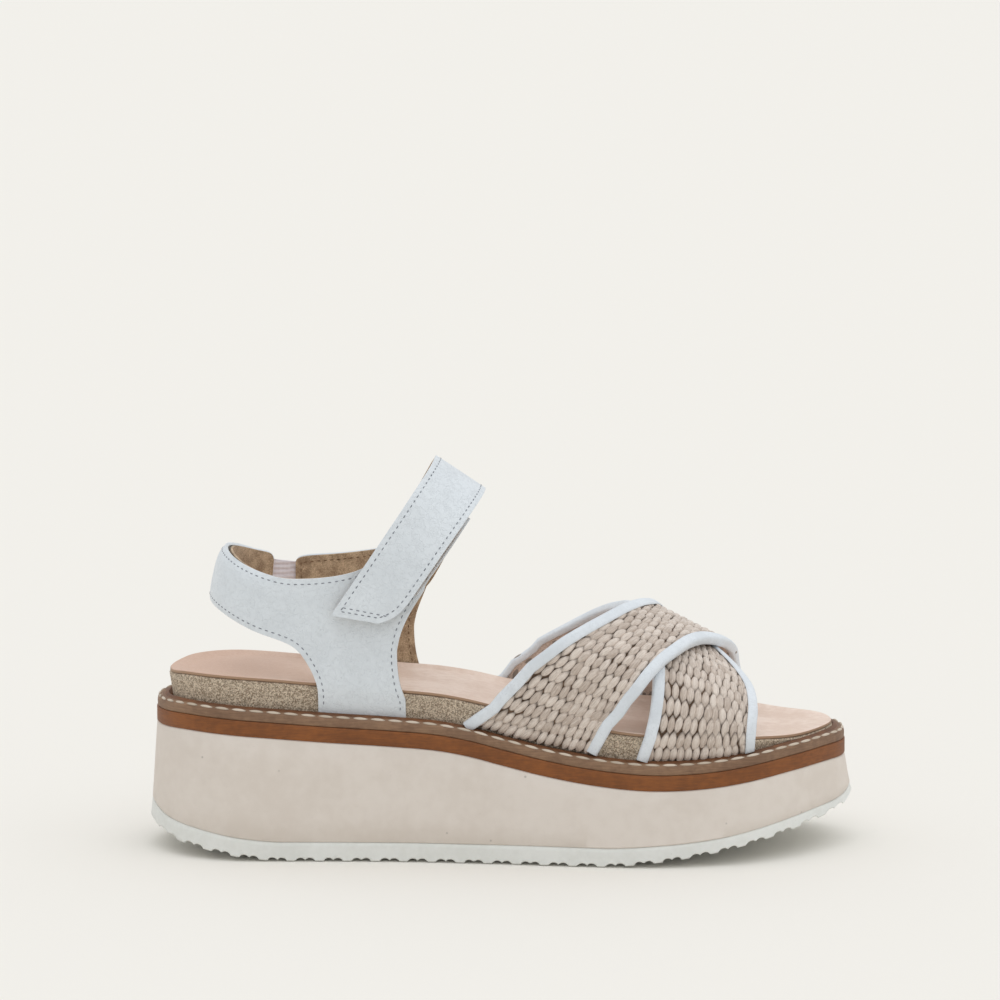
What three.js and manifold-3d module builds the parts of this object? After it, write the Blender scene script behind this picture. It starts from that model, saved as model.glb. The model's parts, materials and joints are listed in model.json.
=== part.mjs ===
// Wedge sandal for a right foot: an ankle strap that opens, a padded heel strap on elastic and two
// crossed raffia straps, on a cork footbed, a foam wedge and a lugged outsole.
// Millimetres. +Z is up, +X points to the toe, +Y points to the inner side of the foot.
// The origin is on the ground, below the middle of the sole.
import * as THREE from 'three';
import { mergeVertices } from 'three/addons/utils/BufferGeometryUtils.js';
import Module from 'manifold-3d';

const wasm = await Module();
wasm.setup();

// ---------------------------------------------------------------- driving dimensions

const FIT_GAP = 0.3; // air left between two pieces that touch
const LAYER_GAP = 0.2; // air left between the layers of one strap

// Footbed plan
const FOOTBED_LENGTH = 253;
const HEEL_WIDTH = 61;
const WAIST_WIDTH = 60.5;
const BALL_WIDTH = 84;
const TOE_WIDTH = 72; // width that the toe's rounding starts from
const HEEL_ROUND = 32; // length of the rounded heel end
const TOE_ROUND = 46; // length of the rounded toe end

// Sole heights, above the ground
const HEEL_RISE = 48; // top of the foam wedge at the heel
const BALL_RISE = 28.3; // top of the foam wedge under the ball
const OUTSOLE_HEEL = 7; // thickness of the outsole behind the ball
const OUTSOLE_TOE = 3.4; // thickness of the outsole at the toe
const RUNNER = 5.5; // thickness of the tan runner
const CORK_HEEL = 13.4; // height of the cork edge at the heel
const CORK_TOE = 4.8; // height of the cork edge at the toe
const SOCK = 1.2;
const SOCK_INSET = 0.6; // the sock's edge lies this far inside the cork's
const HEEL_CUP = 7; // depth of the footbed below its rim at the heel
const FOREFOOT_DISH = 2.6; // and under the toes

// How far the layers stand out past the footbed's edge
const WELT_OUT = 4.6;
const WEDGE_OUT_TOP = 4.9;
const WEDGE_OUT_BOTTOM = 6.9;
const OUTSOLE_OUT = 7.6;
const CORK_LEAN = 1.7; // the cork's edge leans in by this much, down to its base

// Tread
const LUG_PITCH = 10.5;
const GROOVE_WIDTH = 7;
const GROOVE_DEPTH = 1.2;

// Welt
const WELT_HEIGHT = 3.8;
const RAND_HEIGHT = 6;
const RAND_IN = 0.5; // inner edge of the rand, past the footbed's edge
const RAND_OUT = 2.5; // and its outer edge
const STITCH_THREAD = 0.9;

// Leather layers
const LINING = 0.8;
const OUTER = 1.3;
const HEEL_FOAM = 3;
const ELASTIC = 0.8;
const HOOK_PAD = 1;
const LOOP_PAD = 1;
const MARGIN_LENGTH = 11; // leather glued under the cork
const FOLD_RADIUS = 2;

// Raffia straps
const BINDING_SKIN = 0.7;
const VAMP_LINING = 0.6;
const RAFFIA = 1.5;
const BINDING_WIDTH = 3.4;

// Heel strap
const HEEL_STRAP_REACH = 30.6; // from the side seam back to the foot side of the strap
const HEEL_STRAP_TOP = 113; // height of its top edge at the back
const HEEL_STRAP_LEAN = 4.5; // it leans in by this much over its height
const HEEL_STRAP_HEIGHT = 19.5;
const STRAP_END_ANGLE = 65; // degrees from the back to the strap's elastic end
const ELASTIC_START_ANGLE = 55; // degrees from the back to the hidden end of the elastic

// Mesh resolution
const CELLS_LONG = 22;
const CELLS_WIDE = 10;
const RING_STEPS = 56;

// ---------------------------------------------------------------- plan and height curves

const { clamp, lerp, smoothstep, degToRad } = THREE.MathUtils;

/** X of a place given as a share of the footbed's length from the heel, as a last is graded. */
function along(share) {
  return (share - 0.5) * FOOTBED_LENGTH;
}

/** A smooth curve through [share of the length, value] stations, flat past its ends. */
function profile(stations) {
  const places = stations.map(([share]) => along(share));
  const values = stations.map(([, value]) => value);
  const curve = new THREE.CubicInterpolant(places, values, 1, new Float64Array(1));
  return (x) => curve.evaluate(clamp(x, places[0], places[places.length - 1]))[0];
}

/** A smooth curve through [key, value] stations in the key's own unit. */
function curveOf(stations) {
  const keys = stations.map(([key]) => key);
  const values = stations.map(([, value]) => value);
  const curve = new THREE.CubicInterpolant(keys, values, 1, new Float64Array(1));
  return (key) => curve.evaluate(clamp(key, keys[0], keys[keys.length - 1]))[0];
}

const centreLine = profile([
  [0, 0.2], [0.36, -1.5], [0.48, -2.6], [0.63, -2.6], [0.73, -0.4], [0.85, 2.3], [0.94, 5.5], [1, 7.5],
]);

const halfWidth = profile([
  [0, HEEL_WIDTH / 2], [0.14, HEEL_WIDTH / 2], [0.36, WAIST_WIDTH / 2], [0.48, WAIST_WIDTH / 2 + 2.2],
  [0.63, BALL_WIDTH / 2 - 4.2], [0.735, BALL_WIDTH / 2], [0.855, (BALL_WIDTH + TOE_WIDTH) / 4 + 0.6],
  [0.945, TOE_WIDTH / 2], [1, TOE_WIDTH / 2 - 2],
]);

/** 1 away from an end, falling to 0 at the end as an ellipse does. */
function endRounding(distance, length) {
  const share = clamp(1 - distance / length, 0, 1);
  return Math.sqrt(1 - share * share);
}

/** Half the width of the footbed's outline, grown outwards by a margin. */
function half(x, grow) {
  const end = FOOTBED_LENGTH / 2 + grow;
  const heel = endRounding(x + end, HEEL_ROUND + grow);
  const toe = endRounding(end - x, TOE_ROUND + grow);
  return (halfWidth(x) + grow) * heel * toe;
}

const groundCurve = profile([
  [-0.035, 11], [0, 6.9], [0.056, 3.8], [0.117, 1.2], [0.17, 0], [0.3, 0], [0.5, 0], [0.655, 0],
  [0.74, 2.2], [0.81, 4.8], [0.88, 8.2], [0.955, 12.2], [1.015, 16], [1.035, 19],
]);

/** Height of the tread above the ground: flat under the foot, curving up at heel and toe. */
function ground(x) {
  return Math.max(0, groundCurve(x));
}

const outsoleThickness = profile([
  [0, OUTSOLE_HEEL], [0.4, OUTSOLE_HEEL], [0.67, OUTSOLE_HEEL - 0.3], [0.82, OUTSOLE_HEEL - 2],
  [0.95, OUTSOLE_TOE + 1], [1.03, OUTSOLE_TOE],
]);

/** A height between the ball's rise, at 0, and the heel's, at 1. */
function pitched(share) {
  return BALL_RISE + share * (HEEL_RISE - BALL_RISE);
}

const wedgeTop = profile([
  [-0.02, pitched(0.964)], [0.03, pitched(0.995)], [0.08, pitched(0.97)], [0.137, pitched(0.919)],
  [0.24, pitched(0.822)], [0.34, pitched(0.746)], [0.407, pitched(0.68)], [0.457, pitched(0.569)],
  [0.495, pitched(0.447)], [0.566, pitched(0.239)], [0.635, pitched(0.091)], [0.7, pitched(0.01)],
  [0.756, pitched(0)], [0.81, BALL_RISE + 0.7], [0.86, BALL_RISE + 2.1], [0.934, BALL_RISE + 4.4],
  [0.99, BALL_RISE + 5.3], [1.02, BALL_RISE + 5],
]);

const corkEdge = profile([
  [0, CORK_HEEL - 0.9], [0.03, CORK_HEEL], [0.4, CORK_HEEL], [0.67, CORK_HEEL], [0.8, CORK_HEEL - 2],
  [0.875, CORK_HEEL - 5.2], [0.935, CORK_TOE + 0.4], [1, CORK_TOE],
]);

const cupDepth = profile([
  [0, HEEL_CUP], [0.3, HEEL_CUP], [0.5, HEEL_CUP - 2.2], [0.75, FOREFOOT_DISH + 0.8],
  [1, FOREFOOT_DISH],
]);

const runnerTop = (x) => wedgeTop(x) + FIT_GAP + RUNNER;
const corkBase = (x) => runnerTop(x) + FIT_GAP;
const corkTop = (x) => corkBase(x) + corkEdge(x);
const rim = (x) => corkTop(x) + FIT_GAP + SOCK; // the sock's edge, which the straps rise past

// ---------------------------------------------------------------- solids from mapped geometry

/** Keeps positions only, joins equal corners, drops flat triangles and turns the faces outwards. */
function solid(geometry) {
  geometry.deleteAttribute('normal');
  geometry.deleteAttribute('uv');
  const merged = mergeVertices(geometry, 1e-4);
  const index = Array.from(merged.index.array);
  const kept = [];
  for (let i = 0; i < index.length; i += 3) {
    const [a, b, c] = index.slice(i, i + 3);
    if (a !== b && b !== c && c !== a) kept.push(a, b, c);
  }
  merged.setIndex(kept);
  if (volume(merged) < 0) merged.setIndex(kept.reverse());
  return merged;
}

/** Signed volume of a closed geometry: negative when its faces point inwards. */
function volume(geometry) {
  const { array } = geometry.attributes.position;
  const corner = (i) => new THREE.Vector3().fromArray(array, geometry.index.array[i] * 3);
  let sum = 0;
  for (let i = 0; i < geometry.index.count; i += 3) {
    sum += corner(i).dot(corner(i + 1).cross(corner(i + 2)));
  }
  return sum / 6;
}

/** Moves every corner of a geometry to where `place` puts it. */
function mapped(geometry, place) {
  const positions = geometry.attributes.position;
  const uvs = geometry.attributes.uv;
  for (let i = 0; i < positions.count; i += 1) {
    const corner = new THREE.Vector3().fromBufferAttribute(positions, i);
    const uv = new THREE.Vector2().fromBufferAttribute(uvs, i);
    positions.setXYZ(i, ...place(corner, uv).toArray());
  }
  return solid(geometry);
}

/**
 * A closed solid between two grids of corners with matching triangles, so that solids that share
 * a grid nest without touching. `place` gives the corner at (column, row, isUpper).
 */
function gridSolid(columns, rows, place) {
  const layer = (columns + 1) * (rows + 1);
  const at = (column, row, isUpper) => (isUpper ? layer : 0) + row * (columns + 1) + column;
  const corners = [];
  for (const isUpper of [false, true]) {
    for (let row = 0; row <= rows; row += 1) {
      for (let column = 0; column <= columns; column += 1) {
        corners.push(...place(column, row, isUpper).toArray());
      }
    }
  }
  const index = [];
  for (let row = 0; row < rows; row += 1) {
    for (let column = 0; column < columns; column += 1) {
      for (const isUpper of [false, true]) {
        const [a, b] = [at(column, row, isUpper), at(column + 1, row, isUpper)];
        const [c, d] = [at(column + 1, row + 1, isUpper), at(column, row + 1, isUpper)];
        index.push(...(isUpper ? [a, b, c, a, c, d] : [a, c, b, a, d, c]));
      }
    }
  }
  const border = [];
  for (let column = 0; column < columns; column += 1) border.push([column, 0]);
  for (let row = 0; row < rows; row += 1) border.push([columns, row]);
  for (let column = columns; column > 0; column -= 1) border.push([column, rows]);
  for (let row = rows; row > 0; row -= 1) border.push([0, row]);
  border.forEach((from, i) => {
    const to = border[(i + 1) % border.length];
    const [a, b] = [at(...from, false), at(...to, false)];
    const [c, d] = [at(...to, true), at(...from, true)];
    index.push(a, b, c, a, c, d);
  });
  const geometry = new THREE.BufferGeometry();
  geometry.setAttribute('position', new THREE.BufferAttribute(new Float32Array(corners), 3));
  geometry.setIndex(index);
  return solid(geometry);
}

/** A closed geometry as a manifold solid. */
function toManifold(geometry) {
  const mesh = new wasm.Mesh({
    numProp: 3,
    vertProperties: new Float32Array(geometry.attributes.position.array),
    triVerts: new Uint32Array(geometry.index.array),
  });
  return new wasm.Manifold(mesh);
}

/** A manifold solid as a geometry. */
function fromManifold(manifold) {
  const mesh = manifold.getMesh();
  const geometry = new THREE.BufferGeometry();
  geometry.setAttribute('position', new THREE.BufferAttribute(mesh.vertProperties, 3));
  geometry.setIndex(Array.from(mesh.triVerts));
  return geometry;
}

/** A geometry with every cutter taken away from it, without the loose crumbs that a cut can leave. */
function cut(geometry, cutters) {
  let body = toManifold(geometry);
  for (const cutter of cutters) body = body.subtract(toManifold(cutter));
  const pieces = body.decompose().sort((one, other) => other.volume() - one.volume());
  return fromManifold(pieces[0]);
}

// ---------------------------------------------------------------- sole layers

/** A point of the footbed's outline family: `a`, `b` lie on the unit disc. */
function onPlan(a, b, grow) {
  const x = a * (FOOTBED_LENGTH / 2 + grow);
  const chord = Math.sqrt(Math.max(1 - a * a, 0));
  const across = chord > 1e-6 ? clamp(b / chord, -1, 1) : 0;
  return new THREE.Vector2(x, centreLine(x) + across * half(x, grow));
}

/** A layer between two height fields that fills the outline, grown by its own margin at each face. */
function slab({ lower, upper, lowerGrow, upperGrow }) {
  return gridSolid(CELLS_LONG, CELLS_WIDE, (column, row, isUpper) => {
    const s = 2 * column / CELLS_LONG - 1;
    const t = 2 * row / CELLS_WIDE - 1;
    const a = s * Math.sqrt(1 - t * t / 2);
    const b = t * Math.sqrt(1 - s * s / 2);
    const plan = onPlan(a, b, isUpper ? upperGrow : lowerGrow);
    const height = isUpper ? upper : lower;
    return new THREE.Vector3(plan.x, plan.y, height(plan.x, Math.hypot(a, b)));
  });
}

/** A closed ring round the footbed: the section's points are [margin, height above the runner]. */
function ring(section, seat = corkBase) {
  const count = section.length;
  const torus = new THREE.TorusGeometry(2, 1, count, RING_STEPS);
  return mapped(torus, (corner, uv) => {
    const angle = Math.round(uv.x * RING_STEPS) % RING_STEPS * 2 * Math.PI / RING_STEPS;
    const [grow, height] = section[Math.round(uv.y * count) % count];
    const plan = onPlan(Math.cos(angle), Math.sin(angle), grow);
    return new THREE.Vector3(plan.x, plan.y, seat(plan.x) + height);
  });
}

/** Round-bottomed grooves across the tread, one lug pitch apart, that follow its curve. */
function treadGrooves() {
  const radius = (GROOVE_WIDTH ** 2 / 4 + GROOVE_DEPTH ** 2) / (2 * GROOVE_DEPTH);
  const reach = FOOTBED_LENGTH / 2 + OUTSOLE_OUT;
  const count = Math.floor((2 * reach - LUG_PITCH) / LUG_PITCH);
  const grooves = [];
  for (let i = 0; i <= count; i += 1) {
    const x = (i - count / 2) * LUG_PITCH;
    const groove = new THREE.CylinderGeometry(radius, radius, BALL_WIDTH * 2, 14);
    groove.rotateY(Math.PI / 14);
    groove.translate(x, 0, ground(x) + GROOVE_DEPTH - radius);
    grooves.push(solid(groove));
  }
  return grooves;
}

function outsole() {
  const block = slab({
    lower: ground,
    upper: (x) => ground(x) + outsoleThickness(x),
    lowerGrow: OUTSOLE_OUT,
    upperGrow: WEDGE_OUT_BOTTOM,
  });
  return cut(block, treadGrooves());
}

function midsoleWedge() {
  return slab({
    lower: (x) => ground(x) + outsoleThickness(x) + FIT_GAP,
    upper: wedgeTop,
    lowerGrow: WEDGE_OUT_BOTTOM,
    upperGrow: WEDGE_OUT_TOP,
  });
}

function midsoleRunner() {
  return slab({
    lower: (x) => wedgeTop(x) + FIT_GAP,
    upper: runnerTop,
    lowerGrow: WEDGE_OUT_TOP,
    upperGrow: WEDGE_OUT_TOP,
  });
}

const footbedTop = (x, radius) => corkTop(x) - cupDepth(x) * (1 - radius ** 4);

function corkFootbed(cutters) {
  const block = slab({
    lower: corkBase,
    upper: footbedTop,
    lowerGrow: -CORK_LEAN,
    upperGrow: 0,
  });
  return cut(block, cutters);
}

function leatherSock() {
  return slab({
    lower: (x, radius) => footbedTop(x, radius) + FIT_GAP,
    upper: (x, radius) => footbedTop(x, radius) + FIT_GAP + SOCK,
    lowerGrow: -SOCK_INSET,
    upperGrow: -SOCK_INSET,
  });
}

function welt(cutters) {
  const inner = RAND_OUT + FIT_GAP;
  const shoulder = 0.9;
  return cut(ring([
    [WELT_OUT, 0], [WELT_OUT, WELT_HEIGHT - shoulder], [WELT_OUT - shoulder, WELT_HEIGHT],
    [inner, WELT_HEIGHT], [inner, 0],
  ]), cutters);
}

function weltRand(cutters) {
  return cut(ring([
    [RAND_OUT, 0], [RAND_OUT, WELT_HEIGHT], [RAND_IN + 0.6, RAND_HEIGHT], [RAND_IN, RAND_HEIGHT],
    [RAND_IN, 0],
  ]), cutters);
}

/** The sewn thread, laid round the welt's shoulder as one bead. */
function weltStitching() {
  const low = WELT_HEIGHT + FIT_GAP;
  const outer = WELT_OUT - 0.5;
  return ring([
    [outer, low], [outer, low + STITCH_THREAD], [outer - STITCH_THREAD, low + STITCH_THREAD],
    [outer - STITCH_THREAD, low],
  ]);
}

// ---------------------------------------------------------------- the surface that the upper follows

const OUTER_SIDE = -1;
const INNER_SIDE = 1;

const instepRise = profile([
  [0.06, 131], [0.23, 104], [0.385, 78.6], [0.458, 68.9], [0.58, 52.4], [0.7, 37.5], [0.805, 25],
  [0.88, 14.5], [1, 5],
]);

const archFullness = profile([[0.2, 3], [0.45, 2.9], [0.6, 2.5], [0.8, 2.2], [1, 2.2]]);

/** Distance from the middle plane to the upper's foot side at the rim. */
function rimReach(x, side) {
  return half(x, 0) + side * centreLine(x) + FIT_GAP;
}

/** Zero on the arch over the foot at x, negative inside it. */
function archLevel(x, y, z) {
  const reach = rimReach(x, y < 0 ? OUTER_SIDE : INNER_SIDE);
  const share = clamp((z - rim(x)) / instepRise(x), 0, 2);
  return (y / reach) ** 2 + share ** archFullness(x) - 1;
}

/** The point and outward normal of the arch at x, at a share of its height above the rim. */
function onArch(x, share, side) {
  const reach = rimReach(x, side);
  const opening = Math.sqrt(Math.max(1 - clamp(share, 0, 1) ** archFullness(x), 0));
  const y = side * Math.max(reach * opening, FIT_GAP / 2);
  const z = rim(x) + clamp(share, 0, 1) * instepRise(x);
  const step = 0.05;
  const slope = (dx, dy, dz) =>
    archLevel(x + dx, y + dy, z + dz) - archLevel(x - dx, y - dy, z - dz);
  const normal = new THREE.Vector3(slope(step, 0, 0), slope(0, step, 0), slope(0, 0, step));
  return { point: new THREE.Vector3(x, y, z), normal: normal.normalize() };
}

/** The arch at a height above the ground. */
function onArchAt(x, z, side) {
  return onArch(x, (z - rim(x)) / instepRise(x), side);
}

/** Below the rim: 0..1 goes down the cork's edge, 1..2 round the fold, 2..3 along the margin. */
function onRoot(x, depth, side) {
  const step = 0.5;
  const slope = side * (rimReach(x + step, side) - rimReach(x - step, side)) / (2 * step);
  const out = new THREE.Vector3(-slope * side, side, 0).normalize();
  const fold = corkBase(x) + LINING + OUTER + LAYER_GAP;
  const top = rim(x);
  const drop = clamp(depth, 0, 1);
  const wall = new THREE.Vector3(x, side * rimReach(x, side), lerp(top, fold + FOLD_RADIUS, drop));
  wall.addScaledVector(out, -CORK_LEAN * drop);
  if (depth <= 1) return { point: wall, normal: out };
  const angle = clamp(depth - 1, 0, 1) * Math.PI / 2;
  const normal = out.clone().multiplyScalar(Math.cos(angle));
  normal.z = -Math.sin(angle);
  const point = wall.addScaledVector(out, -FOLD_RADIUS).addScaledVector(normal, FOLD_RADIUS);
  point.addScaledVector(out, -MARGIN_LENGTH * Math.max(depth - 2, 0));
  return { point, normal };
}

/** A row of a strap between two [x, height] places on one side of the arch. */
function archRow(side, rear, front) {
  return (u) => onArchAt(lerp(rear[0], front[0], u), lerp(rear[1], front[1], u), side);
}

/** A row of a strap below the rim. */
function rootRow(side, depth, rearX, frontX) {
  return (u) => onRoot(lerp(rearX, frontX, u), depth, side);
}

/** A row of a strap across the arch at an angle from its ridge, in degrees, negative outwards. */
function angleRow(angle, rearX, frontX) {
  const side = angle < 0 ? OUTER_SIDE : INNER_SIDE;
  const cosine = Math.cos(degToRad(angle));
  return (u) => {
    const x = lerp(rearX, frontX, u);
    const frame = onArch(x, Math.max(cosine, 0) ** (2 / archFullness(x)), side);
    frame.point.y = side * rimReach(x, side) * Math.abs(Math.sin(degToRad(angle)));
    return frame;
  };
}

/** A closed sheet over rows of frames, between two offsets from the foot side. */
function sheet(rows, columns, inner, outer) {
  return gridSolid(columns, rows.length - 1, (column, row, isUpper) => {
    const u = column / columns;
    const { point, normal } = rows[row](u);
    const offset = (isUpper ? outer : inner)(row, u, point);
    return point.addScaledVector(normal, offset);
  });
}

const constant = (value) => () => value;

// ---------------------------------------------------------------- quarters

const SEAM_X = along(0.2); // the side seam where the heel strap meets the outer quarter
const INNER_QUARTER_REAR = along(0.184); // where the elastic goes into the inner quarter
const QUARTER_ROOT_REAR = along(0.229);
const QUARTER_ROOT_FRONT = along(0.352);
const INNER_QUARTER_SHIFT = 3.5; // the inner quarter sits this much further forward
const INNER_STRAP_SHIFT = 9; // and the ankle strap's sewn end this much
const QUARTER_NOTCH = 12.3; // rim to the bottom of the heel strap at the seam
const QUARTER_TOP = 38.5; // rim to the quarter's top edge at the seam
const ROOT_DEPTHS = [3, 2, 1.5, 1, 0.5, 0.25];

// The ankle strap's two edges, from its sewn end to the ridge, as [x, height above the rim]
const STRAP_REAR = { end: [along(0.25), 29.7], ridge: [along(0.385), 78.6] };
const STRAP_FRONT = { end: [along(0.336), 26.8], ridge: [along(0.458), 68.9] };

/** [x, height above the ground] of a place given as [x, height above the rim at the strap's end]. */
function overRim([x, height]) {
  return [x, rim(x) + height];
}

/** A point on one edge of the ankle strap: 0 at its sewn end, 1 at the ridge. */
function strapEdge(side, { end, ridge }, share, inset) {
  const [endX, endZ] = overRim(end);
  const [ridgeX, ridgeZ] = overRim(ridge);
  const shift = side === INNER_SIDE ? INNER_STRAP_SHIFT : 0;
  return [lerp(endX + shift, ridgeX, share) + inset, lerp(endZ, ridgeZ, share)];
}

/** Rows of a quarter from its margin under the cork up to its top edge. */
function quarterRows(side, shift, grow) {
  const rear = QUARTER_ROOT_REAR + shift - grow;
  const front = QUARTER_ROOT_FRONT + shift + grow;
  return [
    ...ROOT_DEPTHS.map((depth) => rootRow(side, depth, rear, front)),
    archRow(side, [rear - 0.6, rim(rear)], [front - 1.6, rim(front)]),
    archRow(side, [rear - 3.4, rim(rear) + QUARTER_NOTCH / 2], [front - 3, rim(front) + 7.6]),
  ];
}

const heelSeamBottom = () => rim(SEAM_X) + QUARTER_NOTCH;
const heelSeamTop = () => rim(SEAM_X) + QUARTER_TOP;

/** The outer quarter: below the strap it is a panel, and under the flap it runs up as a tab. */
function outerQuarterRows() {
  const rear = SEAM_X + FIT_GAP / 2;
  const front = QUARTER_ROOT_FRONT;
  const base = rim(front);
  const tabRow = (share) => archRow(OUTER_SIDE,
    strapEdge(OUTER_SIDE, STRAP_REAR, share, 2.5), strapEdge(OUTER_SIDE, STRAP_FRONT, share, 1.2));
  return [
    ...quarterRows(OUTER_SIDE, 0, 0),
    archRow(OUTER_SIDE, [rear, heelSeamBottom()], [front - 3.2, base + 14.6]),
    archRow(OUTER_SIDE, [rear, lerp(heelSeamBottom(), heelSeamTop(), 0.35)], [front - 2, base + 21]),
    archRow(OUTER_SIDE, [rear, lerp(heelSeamBottom(), heelSeamTop(), 0.7)], [front + 0.5, base + 27]),
    archRow(OUTER_SIDE, [rear, heelSeamTop()], [front + 4.5, base + 33.5]),
    archRow(OUTER_SIDE, [rear + 13, heelSeamTop() + 0.5], [front + 7.6, base + 38]),
    ...[0.3, 0.45, 0.6, 0.75, 0.87].map(tabRow),
  ];
}

/** The inner quarter: it ends under the ankle strap's sewn end. */
function innerQuarterRows() {
  const shift = INNER_QUARTER_SHIFT;
  const rear = INNER_QUARTER_REAR;
  const front = QUARTER_ROOT_FRONT + shift;
  const base = rim(front);
  const row = (share, frontPlace) => archRow(INNER_SIDE,
    [rear, lerp(heelSeamBottom(), heelSeamTop(), share)], frontPlace);
  return [
    ...quarterRows(INNER_SIDE, shift, 0),
    row(0, [front - 3.2, base + 14.6]),
    row(0.35, [front - 2, base + 21]),
    row(0.7, [front + 0.5, base + 27]),
    row(1, [front + 3, base + 33.5]),
    archRow(INNER_SIDE, [rear + 16, heelSeamTop() + 0.5], [front + 5, base + 38]),
    archRow(INNER_SIDE,
      strapEdge(INNER_SIDE, STRAP_REAR, 0.3, 3), strapEdge(INNER_SIDE, STRAP_FRONT, 0.3, -2)),
  ];
}

const QUARTER_LINING_DEPTH = 0.25; // linings end just below the rim

/** The rows of a quarter that its lining covers. */
function liningRows(rows, side, shift) {
  const rear = QUARTER_ROOT_REAR + shift;
  const front = QUARTER_ROOT_FRONT + shift;
  return [rootRow(side, QUARTER_LINING_DEPTH, rear, front), ...rows.slice(ROOT_DEPTHS.length)];
}

/** How far a layer moves in towards the cork over the rows below the rim. */
function rootTuck(row, amount) {
  const depth = ROOT_DEPTHS[row] ?? 0;
  return amount * clamp(depth, 0, 1);
}

const OUTER_SEAT = LINING + FIT_GAP; // foot side of the quarters' leather
const UPPER_STACK = OUTER_SEAT + OUTER; // a quarter's full thickness
const INNER_SEAT_X = along(0.235);

/** The inner quarter's leather stands off at its rear, where the elastic runs under it. */
function elasticRoom(point) {
  return (ELASTIC + FIT_GAP) * (1 - smoothstep(point.x, INNER_SEAT_X - 3, INNER_SEAT_X + 5));
}

function outerQuarter() {
  const base = (row) => OUTER_SEAT - rootTuck(row, OUTER_SEAT);
  return sheet(outerQuarterRows(), 6, base, (row) => base(row) + OUTER);
}

function outerQuarterLining() {
  const rows = liningRows(outerQuarterRows(), OUTER_SIDE, 0);
  return sheet(rows, 6, constant(0), constant(LINING));
}

function innerQuarter() {
  const base = (row, u, point) => {
    const room = row < ROOT_DEPTHS.length ? 0 : elasticRoom(point);
    return OUTER_SEAT + room - rootTuck(row, OUTER_SEAT);
  };
  return sheet(innerQuarterRows(), 6, base, (row, u, point) => base(row, u, point) + OUTER);
}

function innerQuarterLining() {
  const rows = liningRows(innerQuarterRows(), INNER_SIDE, INNER_QUARTER_SHIFT);
  return sheet(rows, 6, constant(0), constant(LINING));
}

// ---------------------------------------------------------------- ankle strap and its flap

const LOOP_SEAT = UPPER_STACK + FIT_GAP;
const HOOK_SEAT = LOOP_SEAT + LOOP_PAD + FIT_GAP;
const FLAP_SEAT = HOOK_SEAT + HOOK_PAD + FIT_GAP;
const SEWN_SEAT = UPPER_STACK + FIT_GAP;
const RIDGE_END = 1; // both halves of the strap meet at the ridge
const FLAP_CORNERS = [0.05, 0.62]; // where the flap's end edge starts and stops, across the strap

/** Shares of the strap's run, closer together towards the ridge, where it turns over. */
function strapShares(from, count) {
  const start = 1 - Math.sqrt(1 - from);
  const shares = [];
  for (let i = 0; i <= count; i += 1) {
    const even = lerp(start, RIDGE_END, i / count);
    shares.push(1 - (1 - even) ** 2);
  }
  return shares;
}

/** One row of the ankle strap, between two places across its width. */
function strapRow(side, share, from = 0, to = 1) {
  const rear = strapEdge(side, STRAP_REAR, share, 0);
  const front = strapEdge(side, STRAP_FRONT, share, 0);
  const across = (place) => [lerp(rear[0], front[0], place), lerp(rear[1], front[1], place)];
  return archRow(side, across(from), across(to));
}

/** Rows of one half of the strap, with the corners of its sewn or free end rounded. */
function strapRows(side) {
  return [
    strapRow(side, -0.035, ...FLAP_CORNERS),
    strapRow(side, 0.02, 0, 0.84),
    strapRow(side, 0.1, 0, 0.96),
    ...strapShares(0.2, 10).map((share) => strapRow(side, share)),
  ];
}

/** Seat of the sewn half: on the inner quarter at its end, level with the flap at the ridge. */
function sewnSeat(row) {
  return lerp(SEWN_SEAT, FLAP_SEAT, smoothstep(row, 2, 11));
}

function strapLayers(side, seat) {
  const rows = strapRows(side);
  const leather = (row) => seat(row) + LINING + FIT_GAP;
  return {
    lining: sheet(rows, 4, seat, (row) => seat(row) + LINING),
    outer: sheet(rows, 4, leather, (row) => leather(row) + OUTER),
  };
}

/** A pad of the hook-and-loop fastener between two shares of the strap's run. */
function fastenerPad(seat, thickness, from, to) {
  const rows = [];
  for (let i = 0; i <= 5; i += 1) {
    rows.push(strapRow(OUTER_SIDE, lerp(from, to, i / 5), 0.16, 0.88));
  }
  return sheet(rows, 3, constant(seat), constant(seat + thickness));
}

// ---------------------------------------------------------------- heel strap

/** Half-width and middle of the heel strap at a height, matching the quarters at the seam. */
function heelSpan(z) {
  const outside = onArchAt(SEAM_X, z, OUTER_SIDE).point.y;
  const inside = onArchAt(SEAM_X, z, INNER_SIDE).point.y;
  return { middle: (outside + inside) / 2, reach: (inside - outside) / 2 };
}

/** Depth of the heel strap's curve at a height: it leans in towards the top. */
function heelReach(z) {
  const bottom = HEEL_STRAP_TOP - HEEL_STRAP_HEIGHT;
  return HEEL_STRAP_REACH - HEEL_STRAP_LEAN * clamp((z - bottom) / HEEL_STRAP_HEIGHT, -1, 1);
}

/** The foot side of the heel strap at an angle from the back, negative on the outer side. */
function onHeel(angle, z) {
  const { middle, reach } = heelSpan(z);
  const back = heelReach(z);
  const turn = degToRad(angle);
  const point = new THREE.Vector3(SEAM_X - back * Math.cos(turn), middle + reach * Math.sin(turn), z);
  const lean = HEEL_STRAP_LEAN / HEEL_STRAP_HEIGHT * Math.cos(turn);
  const normal = new THREE.Vector3(-Math.cos(turn) / back, Math.sin(turn) / reach, lean / back);
  return { point, normal: normal.normalize() };
}

function heelTopEdge(angle) {
  const drop = HEEL_STRAP_TOP - heelSeamTop();
  return HEEL_STRAP_TOP - drop * Math.sin(degToRad(angle)) ** 2;
}

function heelBottomEdge(angle) {
  const back = HEEL_STRAP_TOP - HEEL_STRAP_HEIGHT;
  return back - (back - heelSeamBottom()) * (1 - Math.cos(degToRad(angle)));
}

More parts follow.
